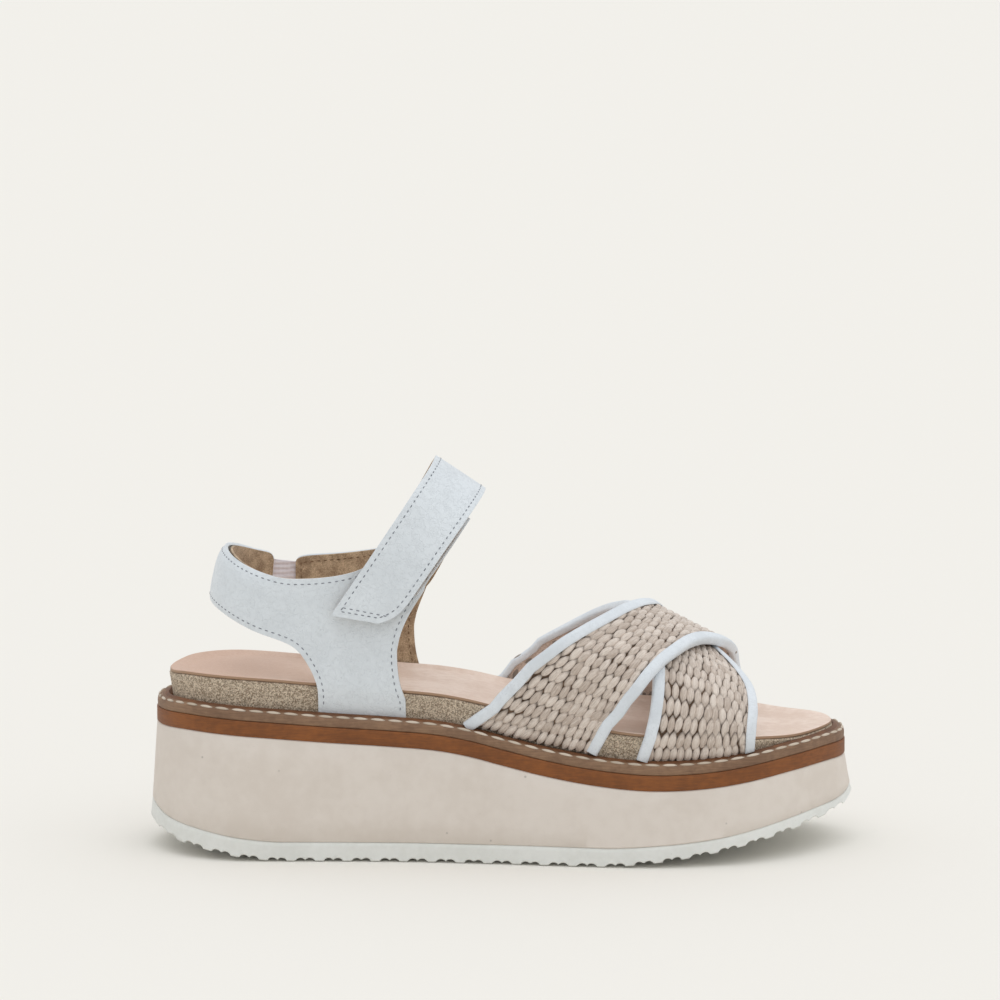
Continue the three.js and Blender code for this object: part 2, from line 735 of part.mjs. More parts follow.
/** Rows up the heel strap; each runs from one angle to another, inset from the strap's edges. */
function heelRows(from, to, inset) {
  return [0, 0.33, 0.67, 1].map((share) => (u) => {
    const angle = lerp(from, to, u);
    const low = heelBottomEdge(angle) + inset;
    const high = heelTopEdge(angle) - inset;
    return onHeel(angle, lerp(low, high, share));
  });
}

const SEAM_ANGLE = -90;
const ELASTIC_BEND_ANGLE = 76; // where the elastic turns along the inner quarter
const ELASTIC_END = along(0.225); // and where it ends inside it
const SEAM_CLEARANCE = 0.55; // degrees that leave the gap at the seam
const PADDING_EASE = 34; // degrees over which the padding swells from its ends

/** Thickness of the padding at an angle: full at the back, thin towards both ends. */
function padding(angle) {
  const fromSeam = smoothstep(angle, SEAM_ANGLE + 4, SEAM_ANGLE + PADDING_EASE);
  const fromElastic = 1 - smoothstep(angle, STRAP_END_ANGLE - PADDING_EASE, STRAP_END_ANGLE - 8);
  return HEEL_FOAM * Math.min(fromSeam, fromElastic);
}

/** Foot side of the heel strap's leather at an angle: over the padding, then over the elastic. */
function heelLeatherSeat(angle) {
  const pad = padding(angle);
  const overPad = pad + FIT_GAP * smoothstep(pad, 0, 0.6);
  const nearEnd = smoothstep(angle, STRAP_END_ANGLE - 30, STRAP_END_ANGLE - 14);
  return OUTER_SEAT + Math.max(overPad, (ELASTIC + FIT_GAP) * nearEnd);
}

function heelStrapOuter() {
  const from = SEAM_ANGLE + SEAM_CLEARANCE;
  const seat = (row, u) => heelLeatherSeat(lerp(from, STRAP_END_ANGLE, u));
  const rows = heelRows(from, STRAP_END_ANGLE, 0);
  return sheet(rows, 20, seat, (row, u) => seat(row, u) + OUTER);
}

function heelStrapFoam() {
  const from = SEAM_ANGLE + 10;
  const to = ELASTIC_START_ANGLE - 4;
  const thickest = (row, u) => OUTER_SEAT + Math.max(padding(lerp(from, to, u)), 0.35);
  return sheet(heelRows(from, to, 1.6), 14, constant(OUTER_SEAT), thickest);
}

function heelStrapLining() {
  const from = SEAM_ANGLE + SEAM_CLEARANCE;
  return sheet(heelRows(from, STRAP_END_ANGLE - 1, 0), 16, constant(0), constant(LINING));
}

/** Elastic from inside the heel strap's end to inside the inner quarter. */
function elasticGore() {
  const columns = 10;
  const bend = 0.6; // share of its run at which it leaves the heel strap's curve
  const inset = 2.5;
  const low = (angle) => heelBottomEdge(angle) + inset;
  const high = (angle) => heelTopEdge(angle) - inset;
  const rows = [0, 1].map((share) => (u) => {
    const angle = lerp(ELASTIC_START_ANGLE, ELASTIC_BEND_ANGLE, Math.min(u / bend, 1));
    const z = lerp(low(angle), high(angle), share);
    if (u <= bend) return onHeel(angle, z);
    const hidden = (u - bend - 1 / columns) / (1 - bend - 1 / columns);
    return onArchAt(lerp(INNER_QUARTER_REAR - 0.6, ELASTIC_END, hidden), z, INNER_SIDE);
  });
  return sheet(rows, columns, constant(OUTER_SEAT), constant(OUTER_SEAT + ELASTIC));
}

// ---------------------------------------------------------------- crossed raffia straps

const VAMP_STACK = 2 * BINDING_SKIN + VAMP_LINING + RAFFIA + 3 * LAYER_GAP;
const VAMP_LINING_SEAT = BINDING_SKIN + LAYER_GAP;
const RAFFIA_SEAT = VAMP_LINING_SEAT + VAMP_LINING + LAYER_GAP;
const CROSSING_LIFT = VAMP_STACK + FIT_GAP;
const CROSSING_ANGLE = 64; // the straps lie on each other within this angle of the ridge
const BINDING_EDGE = 0.95; // the binding's fold stands out past the strap's edge

// Edges as [angle from the ridge, share of the footbed's length], and the same shares at the foot of
// each root, [outer side, inner side]
const OVER_STRAP = {
  rear: curveOf([
    [-90, 0.492], [-80, 0.542], [-66, 0.59], [-51, 0.632], [-37, 0.662], [-20, 0.687], [0, 0.706],
    [45, 0.727], [90, 0.712],
  ]),
  front: curveOf([
    [-90, 0.655], [-78, 0.683], [-60, 0.712], [-40, 0.744], [-22, 0.777], [0, 0.815], [30, 0.84],
    [57, 0.852], [90, 0.866],
  ]),
  rearFoot: [0.447, 0.7],
  frontFoot: [0.64, 0.872],
  lift: (angle) => CROSSING_LIFT * (1 - smoothstep(Math.abs(angle), CROSSING_ANGLE, 88)),
};
const UNDER_STRAP = {
  rear: curveOf([
    [-90, 0.712], [-80, 0.72], [-60, 0.728], [-30, 0.721], [-10, 0.704], [10, 0.687], [34, 0.655],
    [64, 0.597], [80, 0.545], [90, 0.505],
  ]),
  front: curveOf([
    [-90, 0.866], [-79, 0.866], [-46, 0.857], [-17, 0.84], [0, 0.818], [20, 0.784], [40, 0.748],
    [60, 0.715], [78, 0.687], [90, 0.672],
  ]),
  rearFoot: [0.7, 0.465],
  frontFoot: [0.872, 0.66],
  lift: () => 0,
};

const VAMP_ANGLES = [];
for (let i = 0; i <= 20; i += 1) VAMP_ANGLES.push(lerp(-86, 86, i / 20));

/** The X of a raffia strap's two edges on a root, at a depth below the rim. */
function rootEdges(strap, side, depth) {
  const foot = side === OUTER_SIDE ? 0 : 1;
  const drop = clamp(depth, 0, 1);
  const rear = lerp(strap.rear(side * 90), strap.rearFoot[foot], drop);
  const front = lerp(strap.front(side * 90), strap.frontFoot[foot], drop);
  return [along(rear), along(front)];
}

/** A row of a raffia strap on one root: its edges' X and the frame at any X. */
function vampRootRow(strap, side, depth) {
  const [rear, front] = rootEdges(strap, side, depth);
  return { depth, lift: 0, rear, front, at: (x) => onRoot(x, depth, side) };
}

/** A row of a raffia strap over the foot, at an angle from the ridge. */
function vampArchRow(strap, angle) {
  const at = (x) => angleRow(angle, x, x)(0);
  const [rear, front] = [along(strap.rear(angle)), along(strap.front(angle))];
  return { depth: 0, lift: strap.lift(angle), rear, front, at };
}

/** Rows of a raffia strap from the outer root over the foot to the inner root. */
function vampRows(strap, depths) {
  return [
    ...depths.map((depth) => vampRootRow(strap, OUTER_SIDE, depth)),
    ...VAMP_ANGLES.map((angle) => vampArchRow(strap, angle)),
    ...[...depths].reverse().map((depth) => vampRootRow(strap, INNER_SIDE, depth)),
  ];
}

/** Offset of a raffia strap's layer on a row: lifted at the crossing, tucked in at the roots. */
function vampOffset(row, seat) {
  return seat + row.lift - RAFFIA_SEAT * clamp(row.depth, 0, 1);
}

function vampSheet(strap, depths, seat, thickness) {
  const rows = vampRows(strap, depths);
  const frames = rows.map((row) => (u) => row.at(lerp(row.rear, row.front, u)));
  const inner = (row) => vampOffset(rows[row], seat);
  return sheet(frames, 8, inner, (row) => inner(row) + thickness);
}

/** The binding's folded section: [distance in from the strap's edge, height above the foot side]. */
function bindingShape() {
  const inside = 0.3;
  const top = VAMP_STACK;
  const bend = 0.6;
  const shape = new THREE.Shape();
  shape.moveTo(BINDING_WIDTH, 0);
  shape.lineTo(BINDING_WIDTH, BINDING_SKIN);
  shape.lineTo(-inside, BINDING_SKIN);
  shape.lineTo(-inside, top - BINDING_SKIN);
  shape.lineTo(BINDING_WIDTH, top - BINDING_SKIN);
  shape.lineTo(BINDING_WIDTH, top);
  shape.lineTo(-BINDING_EDGE + bend, top);
  shape.lineTo(-BINDING_EDGE, top - bend);
  shape.lineTo(-BINDING_EDGE, bend);
  shape.lineTo(-BINDING_EDGE + bend, 0);
  return shape;
}

/** How far to go along X, on row `i`, to move 1 mm square to the edge of the strap. */
function edgeSlant(rows, edge, i) {
  const spot = (k) => rows[clamp(k, 0, rows.length - 1)];
  const edgePoint = (row) => row.at(row[edge]).point;
  const run = edgePoint(spot(i + 1)).sub(edgePoint(spot(i - 1))).normalize();
  const square = run.cross(rows[i].at(rows[i][edge]).normal).normalize();
  const step = 0.5;
  const x = rows[i][edge];
  const alongRow = rows[i].at(x + step).point.sub(rows[i].at(x - step).point).divideScalar(2 * step);
  return 1 / Math.max(Math.abs(square.dot(alongRow)), 0.5);
}

/** A leather binding folded over one edge of a raffia strap, swept along that edge. */
function binding(strap, edge) {
  const rows = vampRows(strap, [0.75, 0.5, 0.25, 0]);
  const last = rows.length - 1;
  const inward = edge === 'rear' ? 1 : -1;
  const slants = rows.map((row, i) => edgeSlant(rows, edge, i));
  const run = { depth: last, steps: last, bevelEnabled: false };
  return mapped(new THREE.ExtrudeGeometry(bindingShape(), run), (corner) => {
    const i = Math.round(corner.z);
    const { point, normal } = rows[i].at(rows[i][edge] + inward * corner.x * slants[i]);
    return point.addScaledVector(normal, vampOffset(rows[i], corner.y));
  });
}

// ---------------------------------------------------------------- room for the straps' roots

const MARGIN_SPARE = 0.05; // clearance past the end of a margin, as a share of its length

/** The space that one root of a quarter takes, with its clearance. */
function quarterRoom(side, shift) {
  const rear = QUARTER_ROOT_REAR + shift - FIT_GAP;
  const front = QUARTER_ROOT_FRONT + shift + FIT_GAP;
  const depths = [3 + MARGIN_SPARE, 2, 1.5, 1, 0.5, 0.25, 0];
  const rows = depths.map((depth) => rootRow(side, depth, rear, front));
  const tuck = (row) => OUTER_SEAT * clamp(depths[row], 0, 1);
  const low = (row) => -FIT_GAP - tuck(row);
  const high = (row) => UPPER_STACK + FIT_GAP - tuck(row);
  return sheet(rows, 6, low, high);
}

/** The space that one root of a raffia strap takes, with its bindings and clearance. */
function vampRoom(strap, side) {
  const spread = (BINDING_EDGE + FIT_GAP) * 1.5;
  const depths = [3 + MARGIN_SPARE, 2, 1.5, 1, 0.75, 0.5, 0.25, 0];
  const rows = depths.map((depth) => {
    const [rear, front] = rootEdges(strap, side, depth);
    return rootRow(side, depth, rear - spread, front + spread);
  });
  const tuck = (row) => RAFFIA_SEAT * clamp(depths[row], 0, 1);
  const high = (row) => (depths[row] > 1 ? RAFFIA_SEAT + RAFFIA : VAMP_STACK) + FIT_GAP - tuck(row);
  return sheet(rows, 8, (row) => -FIT_GAP - tuck(row), high);
}

// ---------------------------------------------------------------- materials and the assembly

const FINISHES = {
  rubber: { color: 0xe4e4e0, roughness: 0.6, metalness: 0 },
  foam: { color: 0xd8cfc4, roughness: 0.85, metalness: 0 },
  runner: { color: 0x8f5c38, roughness: 0.65, metalness: 0 },
  welt: { color: 0x97806c, roughness: 0.6, metalness: 0 },
  rand: { color: 0x6f482a, roughness: 0.65, metalness: 0 },
  thread: { color: 0xd9cbb2, roughness: 0.8, metalness: 0 },
  cork: { color: 0x9c8a70, roughness: 0.95, metalness: 0 },
  sock: { color: 0xe6cdbb, roughness: 0.6, metalness: 0 },
  leather: { color: 0xe3e6ec, roughness: 0.5, metalness: 0 },
  suede: { color: 0x9c8163, roughness: 0.95, metalness: 0 },
  padding: { color: 0xd9d2c6, roughness: 0.95, metalness: 0 },
  elastic: { color: 0xcdc3cd, roughness: 0.8, metalness: 0 },
  fastener: { color: 0xe2e2e2, roughness: 0.95, metalness: 0 },
  raffia: { color: 0xd3c4b3, roughness: 0.8, metalness: 0 },
  vampLining: { color: 0xe6d8d2, roughness: 0.8, metalness: 0 },
};

const sandal = new THREE.Group();

/** Adds one named piece with a material of its own. */
function add(name, geometry, finish) {
  const mesh = new THREE.Mesh(geometry, new THREE.MeshStandardMaterial(FINISHES[finish]));
  mesh.name = name;
  sandal.add(mesh);
}

function addSole() {
  const rooms = [
    quarterRoom(OUTER_SIDE, 0), quarterRoom(INNER_SIDE, INNER_QUARTER_SHIFT),
    vampRoom(OVER_STRAP, OUTER_SIDE), vampRoom(OVER_STRAP, INNER_SIDE),
    vampRoom(UNDER_STRAP, OUTER_SIDE), vampRoom(UNDER_STRAP, INNER_SIDE),
  ];
  add('outsole', outsole(), 'rubber');
  add('midsole_wedge', midsoleWedge(), 'foam');
  add('midsole_runner', midsoleRunner(), 'runner');
  add('welt', welt(rooms), 'welt');
  add('welt_rand', weltRand(rooms), 'rand');
  add('welt_stitching', weltStitching(), 'thread');
  add('cork_footbed', corkFootbed(rooms), 'cork');
  add('leather_sock', leatherSock(), 'sock');
}

function addQuarters() {
  add('lateral_quarter_outer', outerQuarter(), 'leather');
  add('lateral_quarter_lining', outerQuarterLining(), 'suede');
  add('medial_quarter_outer', innerQuarter(), 'leather');
  add('medial_quarter_lining', innerQuarterLining(), 'suede');
}

function addAnkleStrap() {
  const sewn = strapLayers(INNER_SIDE, sewnSeat);
  add('ankle_strap_outer', sewn.outer, 'leather');
  add('ankle_strap_lining', sewn.lining, 'suede');
  const flap = strapLayers(OUTER_SIDE, constant(FLAP_SEAT));
  add('ankle_flap_outer', flap.outer, 'leather');
  add('ankle_flap_lining', flap.lining, 'suede');
  add('loop_pad', fastenerPad(LOOP_SEAT, LOOP_PAD, 0.22, 0.8), 'fastener');
  add('hook_pad', fastenerPad(HOOK_SEAT, HOOK_PAD, 0.08, 0.62), 'fastener');
}

function addHeelStrap() {
  add('heel_strap_outer', heelStrapOuter(), 'leather');
  add('heel_strap_foam', heelStrapFoam(), 'padding');
  add('heel_strap_lining', heelStrapLining(), 'suede');
  add('elastic_gore', elasticGore(), 'elastic');
}

function addRaffiaStrap(name, strap) {
  add(`${name}_panel`, vampSheet(strap, [...ROOT_DEPTHS, 0], RAFFIA_SEAT, RAFFIA), 'raffia');
  add(`${name}_lining`, vampSheet(strap, [0.25, 0], VAMP_LINING_SEAT, VAMP_LINING), 'vampLining');
  add(`${name}_rear_binding`, binding(strap, 'rear'), 'leather');
  add(`${name}_front_binding`, binding(strap, 'front'), 'leather');
}

addSole();
addQuarters();
addAnkleStrap();
addHeelStrap();
addRaffiaStrap('over_strap', OVER_STRAP);
addRaffiaStrap('under_strap', UNDER_STRAP);

export default sandal;
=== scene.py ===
"""Wedge sandal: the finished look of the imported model.

The frame gives where each CAD node is. Every piece is moulded on the same last as the CAD model,
in millimetres, and written to its mesh in metres. +X points to the toe, +Y to the inner side of
the foot and +Z up.
"""

import json
import logging
import math
from dataclasses import dataclass
from enum import Enum
from typing import Callable, Sequence

import bpy
import numpy as np
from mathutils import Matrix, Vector

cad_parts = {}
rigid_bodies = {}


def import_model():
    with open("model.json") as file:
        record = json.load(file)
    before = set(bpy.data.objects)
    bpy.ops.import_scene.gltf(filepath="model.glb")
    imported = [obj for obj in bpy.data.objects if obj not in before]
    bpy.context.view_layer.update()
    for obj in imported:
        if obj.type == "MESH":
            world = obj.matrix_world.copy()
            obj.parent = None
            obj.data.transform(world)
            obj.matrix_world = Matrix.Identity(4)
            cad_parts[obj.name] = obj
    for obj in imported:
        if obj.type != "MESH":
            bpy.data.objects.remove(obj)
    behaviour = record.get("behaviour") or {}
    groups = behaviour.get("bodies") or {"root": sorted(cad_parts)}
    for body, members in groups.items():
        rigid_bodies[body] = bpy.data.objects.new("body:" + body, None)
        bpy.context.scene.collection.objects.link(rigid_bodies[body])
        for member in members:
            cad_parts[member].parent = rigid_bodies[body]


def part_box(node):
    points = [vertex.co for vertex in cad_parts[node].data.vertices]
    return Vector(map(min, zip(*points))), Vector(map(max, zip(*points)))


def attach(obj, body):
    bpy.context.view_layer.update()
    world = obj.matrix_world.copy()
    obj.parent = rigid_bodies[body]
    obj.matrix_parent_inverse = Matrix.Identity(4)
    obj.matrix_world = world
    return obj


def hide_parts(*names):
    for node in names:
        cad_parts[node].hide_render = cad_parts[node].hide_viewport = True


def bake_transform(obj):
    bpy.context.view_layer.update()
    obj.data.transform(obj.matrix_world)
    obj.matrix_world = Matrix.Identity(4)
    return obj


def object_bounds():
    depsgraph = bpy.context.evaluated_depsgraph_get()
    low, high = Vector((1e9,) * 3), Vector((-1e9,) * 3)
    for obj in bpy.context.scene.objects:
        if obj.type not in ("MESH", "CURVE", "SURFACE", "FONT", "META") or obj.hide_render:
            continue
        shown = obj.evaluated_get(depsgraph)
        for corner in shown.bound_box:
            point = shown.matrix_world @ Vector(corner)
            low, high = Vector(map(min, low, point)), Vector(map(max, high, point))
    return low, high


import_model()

CAD_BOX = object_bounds()
LOG = logging.getLogger("sandal")
MM = 0.001
MOULDED_EDGE, SOFT_EDGE, BEAD_EDGE = 50, 60, 80  # degrees past which an edge stays sharp

Array = np.ndarray
Field = Callable[[Array], Array]
Piece = bpy.types.Object


class Body(Enum):
    """The bodies that pieces move with."""

    SOLE = "sole_and_straps"
    FLAP = "ankle_flap"
    HEEL = "heel_strap"


# ------------------------------------------------------------------ curves and the last


class Curve:
    """A smooth curve through stations, flat past its ends."""

    def __init__(self, stations: Sequence[tuple[float, float]]) -> None:
        """Stores the stations.

        Args:
            stations: (key, value) pairs in rising order of key.
        """
        self.keys = np.array([key for key, _ in stations], float)
        self.values = np.array([value for _, value in stations], float)

    def __call__(self, at: Array) -> Array:
        """Evaluates the curve.

        Args:
            at: keys, of any shape.

        Returns:
            The values there, in the same shape.
        """
        keys, values, last = self.keys, self.values, len(self.keys) - 1
        x = np.clip(np.asarray(at, float), keys[0], keys[-1])
        hi = np.clip(np.searchsorted(keys, x, side="right"), 1, last)
        lo = hi - 1
        start, stop = keys[lo], keys[hi]
        before = np.where(lo > 0, lo - 1, hi)
        after = np.where(hi < last, hi + 1, lo)
        t_before = np.where(lo > 0, keys[before], 2 * start - stop)
        t_after = np.where(hi < last, keys[after], 2 * stop - start)
        half_step = (stop - start) / 2
        wb = half_step / (start - t_before)
        wa = half_step / (t_after - stop)
        p = (x - start) / (stop - start)
        p2, p3 = p * p, p * p * p
        w_before = -wb * p3 + 2 * wb * p2 - wb * p
        w_lo = (1 + wb) * p3 + (-1.5 - 2 * wb) * p2 + (-0.5 + wb) * p + 1
        w_hi = (-1 - wa) * p3 + (1.5 + wa) * p2 + 0.5 * p
        w_after = wa * p3 - wa * p2
        inner = w_before * values[before] + w_lo * values[lo] + w_hi * values[hi]
        return inner + w_after * values[after]


def lerp(a: Array, b: Array, t: Array) -> Array:
    """Goes from a to b as t goes from 0 to 1."""
    return a + (b - a) * t


def smoothstep(x: Array, low: float, high: float) -> Array:
    """Rises smoothly from 0 at low to 1 at high."""
    t = np.clip((np.asarray(x, float) - low) / (high - low), 0, 1)
    return t * t * (3 - 2 * t)


def unit(vectors: Array) -> Array:
    """Vectors along the last axis, made one long."""
    length = np.linalg.norm(vectors, axis=-1, keepdims=True)
    return vectors / np.maximum(length, 1e-9)


def stack(x: Array, y: Array, z: Array) -> Array:
    """Points from their three coordinates, spread to one shape."""
    return np.stack(np.broadcast_arrays(x, y, z), axis=-1).astype(float)


@dataclass
class Frames:
    """Points of a surface and its normals there."""

    point: Array
    normal: Array

    def out(self, distance: Array) -> Array:
        """The points moved along their normals by a distance."""
        return self.point + self.normal * np.asarray(distance, float)[..., None]


@dataclass
class Last:
    """The form that every piece follows, in millimetres."""

    length: float
    heel_width: float = 61.0
    waist_width: float = 60.5
    ball_width: float = 84.0
    toe_width: float = 72.0
    heel_round: float = 32.0
    toe_round: float = 46.0
    heel_rise: float = 48.0
    ball_rise: float = 28.3
    runner: float = 5.5
    cork_heel: float = 13.4
    cork_toe: float = 4.8
    sock: float = 1.2
    heel_cup: float = 7.0
    forefoot_dish: float = 2.6
    cork_lean: float = 1.7
    fold_radius: float = 2.0
    margin: float = 11.0
    gap: float = 0.3
    strap_base: float = 2.3
    heel_reach: float = 30.6
    heel_top: float = 113.0
    heel_lean: float = 4.5
    heel_height: float = 19.5
    notch: float = 12.3
    quarter_top: float = 38.5

    def __post_init__(self) -> None:
        """Makes the curves of the plan, the sole's heights and the instep."""
        fall = self.heel_rise - self.ball_rise
        cork, cup = self.cork_heel, self.heel_cup
        self.centre = self.profile(
            [
                (0, 0.2), (0.36, -1.5), (0.48, -2.6), (0.63, -2.6), (0.73, -0.4), (0.85, 2.3),
                (0.94, 5.5), (1, 7.5)
            ]
        )
        self.half_width = self.profile([
            (0, self.heel_width / 2), (0.14, self.heel_width / 2), (0.36, self.waist_width / 2),
            (0.48, self.waist_width / 2 + 2.2), (0.63, self.ball_width / 2 - 4.2),
            (0.735, self.ball_width / 2), (0.855, (self.ball_width + self.toe_width) / 4 + 0.6),
            (0.945, self.toe_width / 2), (1, self.toe_width / 2 - 2),
        ])
        self.tread = self.profile([
            (-0.035, 11), (0, 6.9), (0.056, 3.8), (0.117, 1.2), (0.17, 0), (0.3, 0), (0.5, 0),
            (0.655, 0), (0.74, 2.2), (0.81, 4.8), (0.88, 8.2), (0.955, 12.2), (1.015, 16),
            (1.035, 19),
        ])
        self.outsole = self.profile(
            [(0, 7), (0.4, 7), (0.67, 6.7), (0.82, 5), (0.95, 4.4), (1.03, 3.4)]
        )
        pitched = [
            (-0.02, 0.964), (0.03, 0.995), (0.08, 0.97), (0.137, 0.919), (0.24, 0.822),
            (0.34, 0.746),
            (0.407, 0.68), (0.457, 0.569), (0.495, 0.447), (0.566, 0.239), (0.635, 0.091),
            (0.7, 0.01),
            (0.756, 0),
        ]
        toe = [(0.81, 0.7), (0.86, 2.1), (0.934, 4.4), (0.99, 5.3), (1.02, 5)]
        self.wedge_top = self.profile(
            [(share, self.ball_rise + fall * up) for share, up in pitched]
            + [(share, self.ball_rise + up) for share, up in toe]
        )
        self.cork_edge = self.profile([
            (0, cork - 0.9), (0.03, cork), (0.4, cork), (0.67, cork), (0.8, cork - 2),
            (0.875, cork - 5.2),
            (0.935, self.cork_toe + 0.4), (1, self.cork_toe),
        ])
        self.cup = self.profile(
            [
                (0, cup), (0.3, cup), (0.5, cup - 2.2), (0.75, self.forefoot_dish + 0.8),
                (1, self.forefoot_dish)
            ]
        )
        self.instep = self.profile([
            (0.06, 131), (0.23, 104), (0.385, 78.6), (0.458, 68.9), (0.58, 52.4), (0.7, 37.5),
            (0.805, 25),
            (0.88, 14.5), (1, 5),
        ])
        self.fullness = self.profile([(0.2, 3), (0.45, 2.9), (0.6, 2.5), (0.8, 2.2), (1, 2.2)])
        self.seam_x = float(self.along(0.2))

    def along(self, share: Array) -> Array:
        """X of a share of the footbed's length from the heel."""
        return (np.asarray(share, float) - 0.5) * self.length

    def profile(self, stations: Sequence[tuple[float, float]]) -> Curve:
        """A curve over X through (share of the length, value) stations."""
        return Curve([(float(self.along(share)), value) for share, value in stations])

    def ground(self, x: Array) -> Array:
        """Height of the tread."""
        return np.maximum(self.tread(x), 0)

    def half(self, x: Array, grow: Array) -> Array:
        """Half the width of the footbed's outline, grown by a margin.

        Args:
            x: places along the sole.
            grow: the margin.

        Returns:
            The half-widths.
        """
        end = self.length / 2 + grow
        heel = np.clip(1 - (x + end) / (self.heel_round + grow), 0, 1)
        toe = np.clip(1 - (end - x) / (self.toe_round + grow), 0, 1)
        return (self.half_width(x) + grow) * np.sqrt(1 - heel**2) * np.sqrt(1 - toe**2)

    def runner_top(self, x: Array) -> Array:
        """Top face of the runner."""
        return self.wedge_top(x) + self.gap + self.runner

    def cork_base(self, x: Array) -> Array:
        """Bottom face of the cork."""
        return self.runner_top(x) + self.gap

    def cork_top(self, x: Array) -> Array:
        """Top of the cork's edge."""
        return self.cork_base(x) + self.cork_edge(x)

    def rim(self, x: Array) -> Array:
        """Height of the sock's edge, which the straps rise past."""
        return self.cork_top(x) + self.gap + self.sock

    def outline(self, turn: Array, grow: Array) -> tuple[Array, Array]:
        """The footbed's outline, grown by a margin.

        Args:
            turn: angle round it from the toe towards the inner side.
            grow: the margin.

        Returns:
            X and Y of the points.
        """
        x = np.cos(turn) * (self.length / 2 + grow)
        side = np.where(np.sin(turn) < 0, -1.0, 1.0)
        return x, self.centre(x) + side * self.half(x, grow)

    def reach(self, x: Array, side: Array) -> Array:
        """Distance from the middle plane to the upper's foot side at the rim."""
        return self.half(x, 0) + side * self.centre(x) + self.gap

    def level(self, x: Array, y: Array, z: Array) -> Array:
        """Zero on the arch over the foot, negative inside it."""
        reach = self.reach(x, np.where(y < 0, -1, 1))
        share = np.clip((z - self.rim(x)) / self.instep(x), 0, 2)
        return (y / reach) ** 2 + share ** self.fullness(x) - 1

    def on_arch(self, x: Array, height: Array, side: Array) -> Frames:
        """The arch over the foot.

        Args:
            x: places along the sole.
            height: shares of the arch's height above the rim.
            side: signs of Y.

        Returns:
            The arch's frames there.
        """
        x, height, side = np.broadcast_arrays(np.asarray(x, float), height, side)
        share = np.clip(height, 0, 1)
        opening = np.sqrt(np.maximum(1 - share ** self.fullness(x), 0))
        y = side * np.maximum(self.reach(x, side) * opening, self.gap / 2)
        z = self.rim(x) + share * self.instep(x)
        return Frames(stack(x, y, z), self.arch_normal(x, y, z))

    def arch_normal(self, x: Array, y: Array, z: Array) -> Array:
        """The arch's outward direction at points on it."""
        step = 0.05
        slope = stack(
            self.level(x + step, y, z) - self.level(x - step, y, z),
            self.level(x, y + step, z) - self.level(x, y - step, z),
            self.level(x, y, z + step) - self.level(x, y, z - step),
        )
        return unit(slope)

    def on_arch_at(self, x: Array, z: Array, side: Array) -> Frames:
        """The arch at a height above the ground."""
        x = np.asarray(x, float)
        return self.on_arch(x, (z - self.rim(x)) / self.instep(x), side)

    def on_angle(self, x: Array, angle: Array) -> Frames:
        """The arch at an angle from its ridge, in degrees, negative on the outer side."""
        x, angle = np.broadcast_arrays(np.asarray(x, float), np.asarray(angle, float))
        side = np.where(angle < 0, -1, 1)
        turn = np.radians(angle)
        share = np.maximum(np.cos(turn), 0) ** (2 / self.fullness(x))
        z = self.rim(x) + share * self.instep(x)
        y = side * self.reach(x, side) * np.abs(np.sin(turn))
        level_y = side * np.maximum(np.abs(y), self.gap / 2)
        return Frames(stack(x, y, z), self.arch_normal(x, level_y, z))

    def on_root(self, x: Array, depth: Array, side: Array) -> Frames:
        """Below the rim: down the cork's edge to depth 1, round the fold to 2, then inwards.

        Args:
            x: places along the sole.
            depth: how far down the root.
            side: signs of Y.

        Returns:
            The foot side's frames there.
        """
        x, depth, side = np.broadcast_arrays(np.asarray(x, float), np.asarray(depth, float), side)
        slope = side * (self.reach(x + 0.5, side) - self.reach(x - 0.5, side))
        out = unit(stack(-slope * side, side, 0))
        fold = self.cork_base(x) + self.strap_base
        drop = np.clip(depth, 0, 1)
        z = lerp(self.rim(x), fold + self.fold_radius, drop)
        point = stack(x, side * self.reach(x, side), z) - out * (self.cork_lean * drop)[..., None]
        angle = np.clip(depth - 1, 0, 1) * math.pi / 2
        down = np.stack(
            [out[..., 0] * np.cos(angle), out[..., 1] * np.cos(angle), -np.sin(angle)], -1
        )
        folded = point - out * self.fold_radius + down * self.fold_radius
        folded = folded - out * (self.margin * np.maximum(depth - 2, 0))[..., None]
        is_wall = (depth <= 1)[..., None]
        return Frames(np.where(is_wall, point, folded), np.where(is_wall, out, down))

    def seam_bottom(self) -> float:
        """Height of the heel strap's lower edge at the side seam."""
        return float(self.rim(self.seam_x)) + self.notch

    def seam_top(self) -> float:
        """Height of its upper edge there."""
        return float(self.rim(self.seam_x)) + self.quarter_top

    def heel_top_edge(self, angle: Array) -> Array:
        """Height of the heel strap's upper edge at an angle from the back."""
        return self.heel_top - (self.heel_top - self.seam_top()) * np.sin(np.radians(angle)) ** 2

    def heel_bottom_edge(self, angle: Array) -> Array:
        """Height of its lower edge there."""
        back = self.heel_top - self.heel_height
        return back - (back - self.seam_bottom()) * (1 - np.cos(np.radians(angle)))

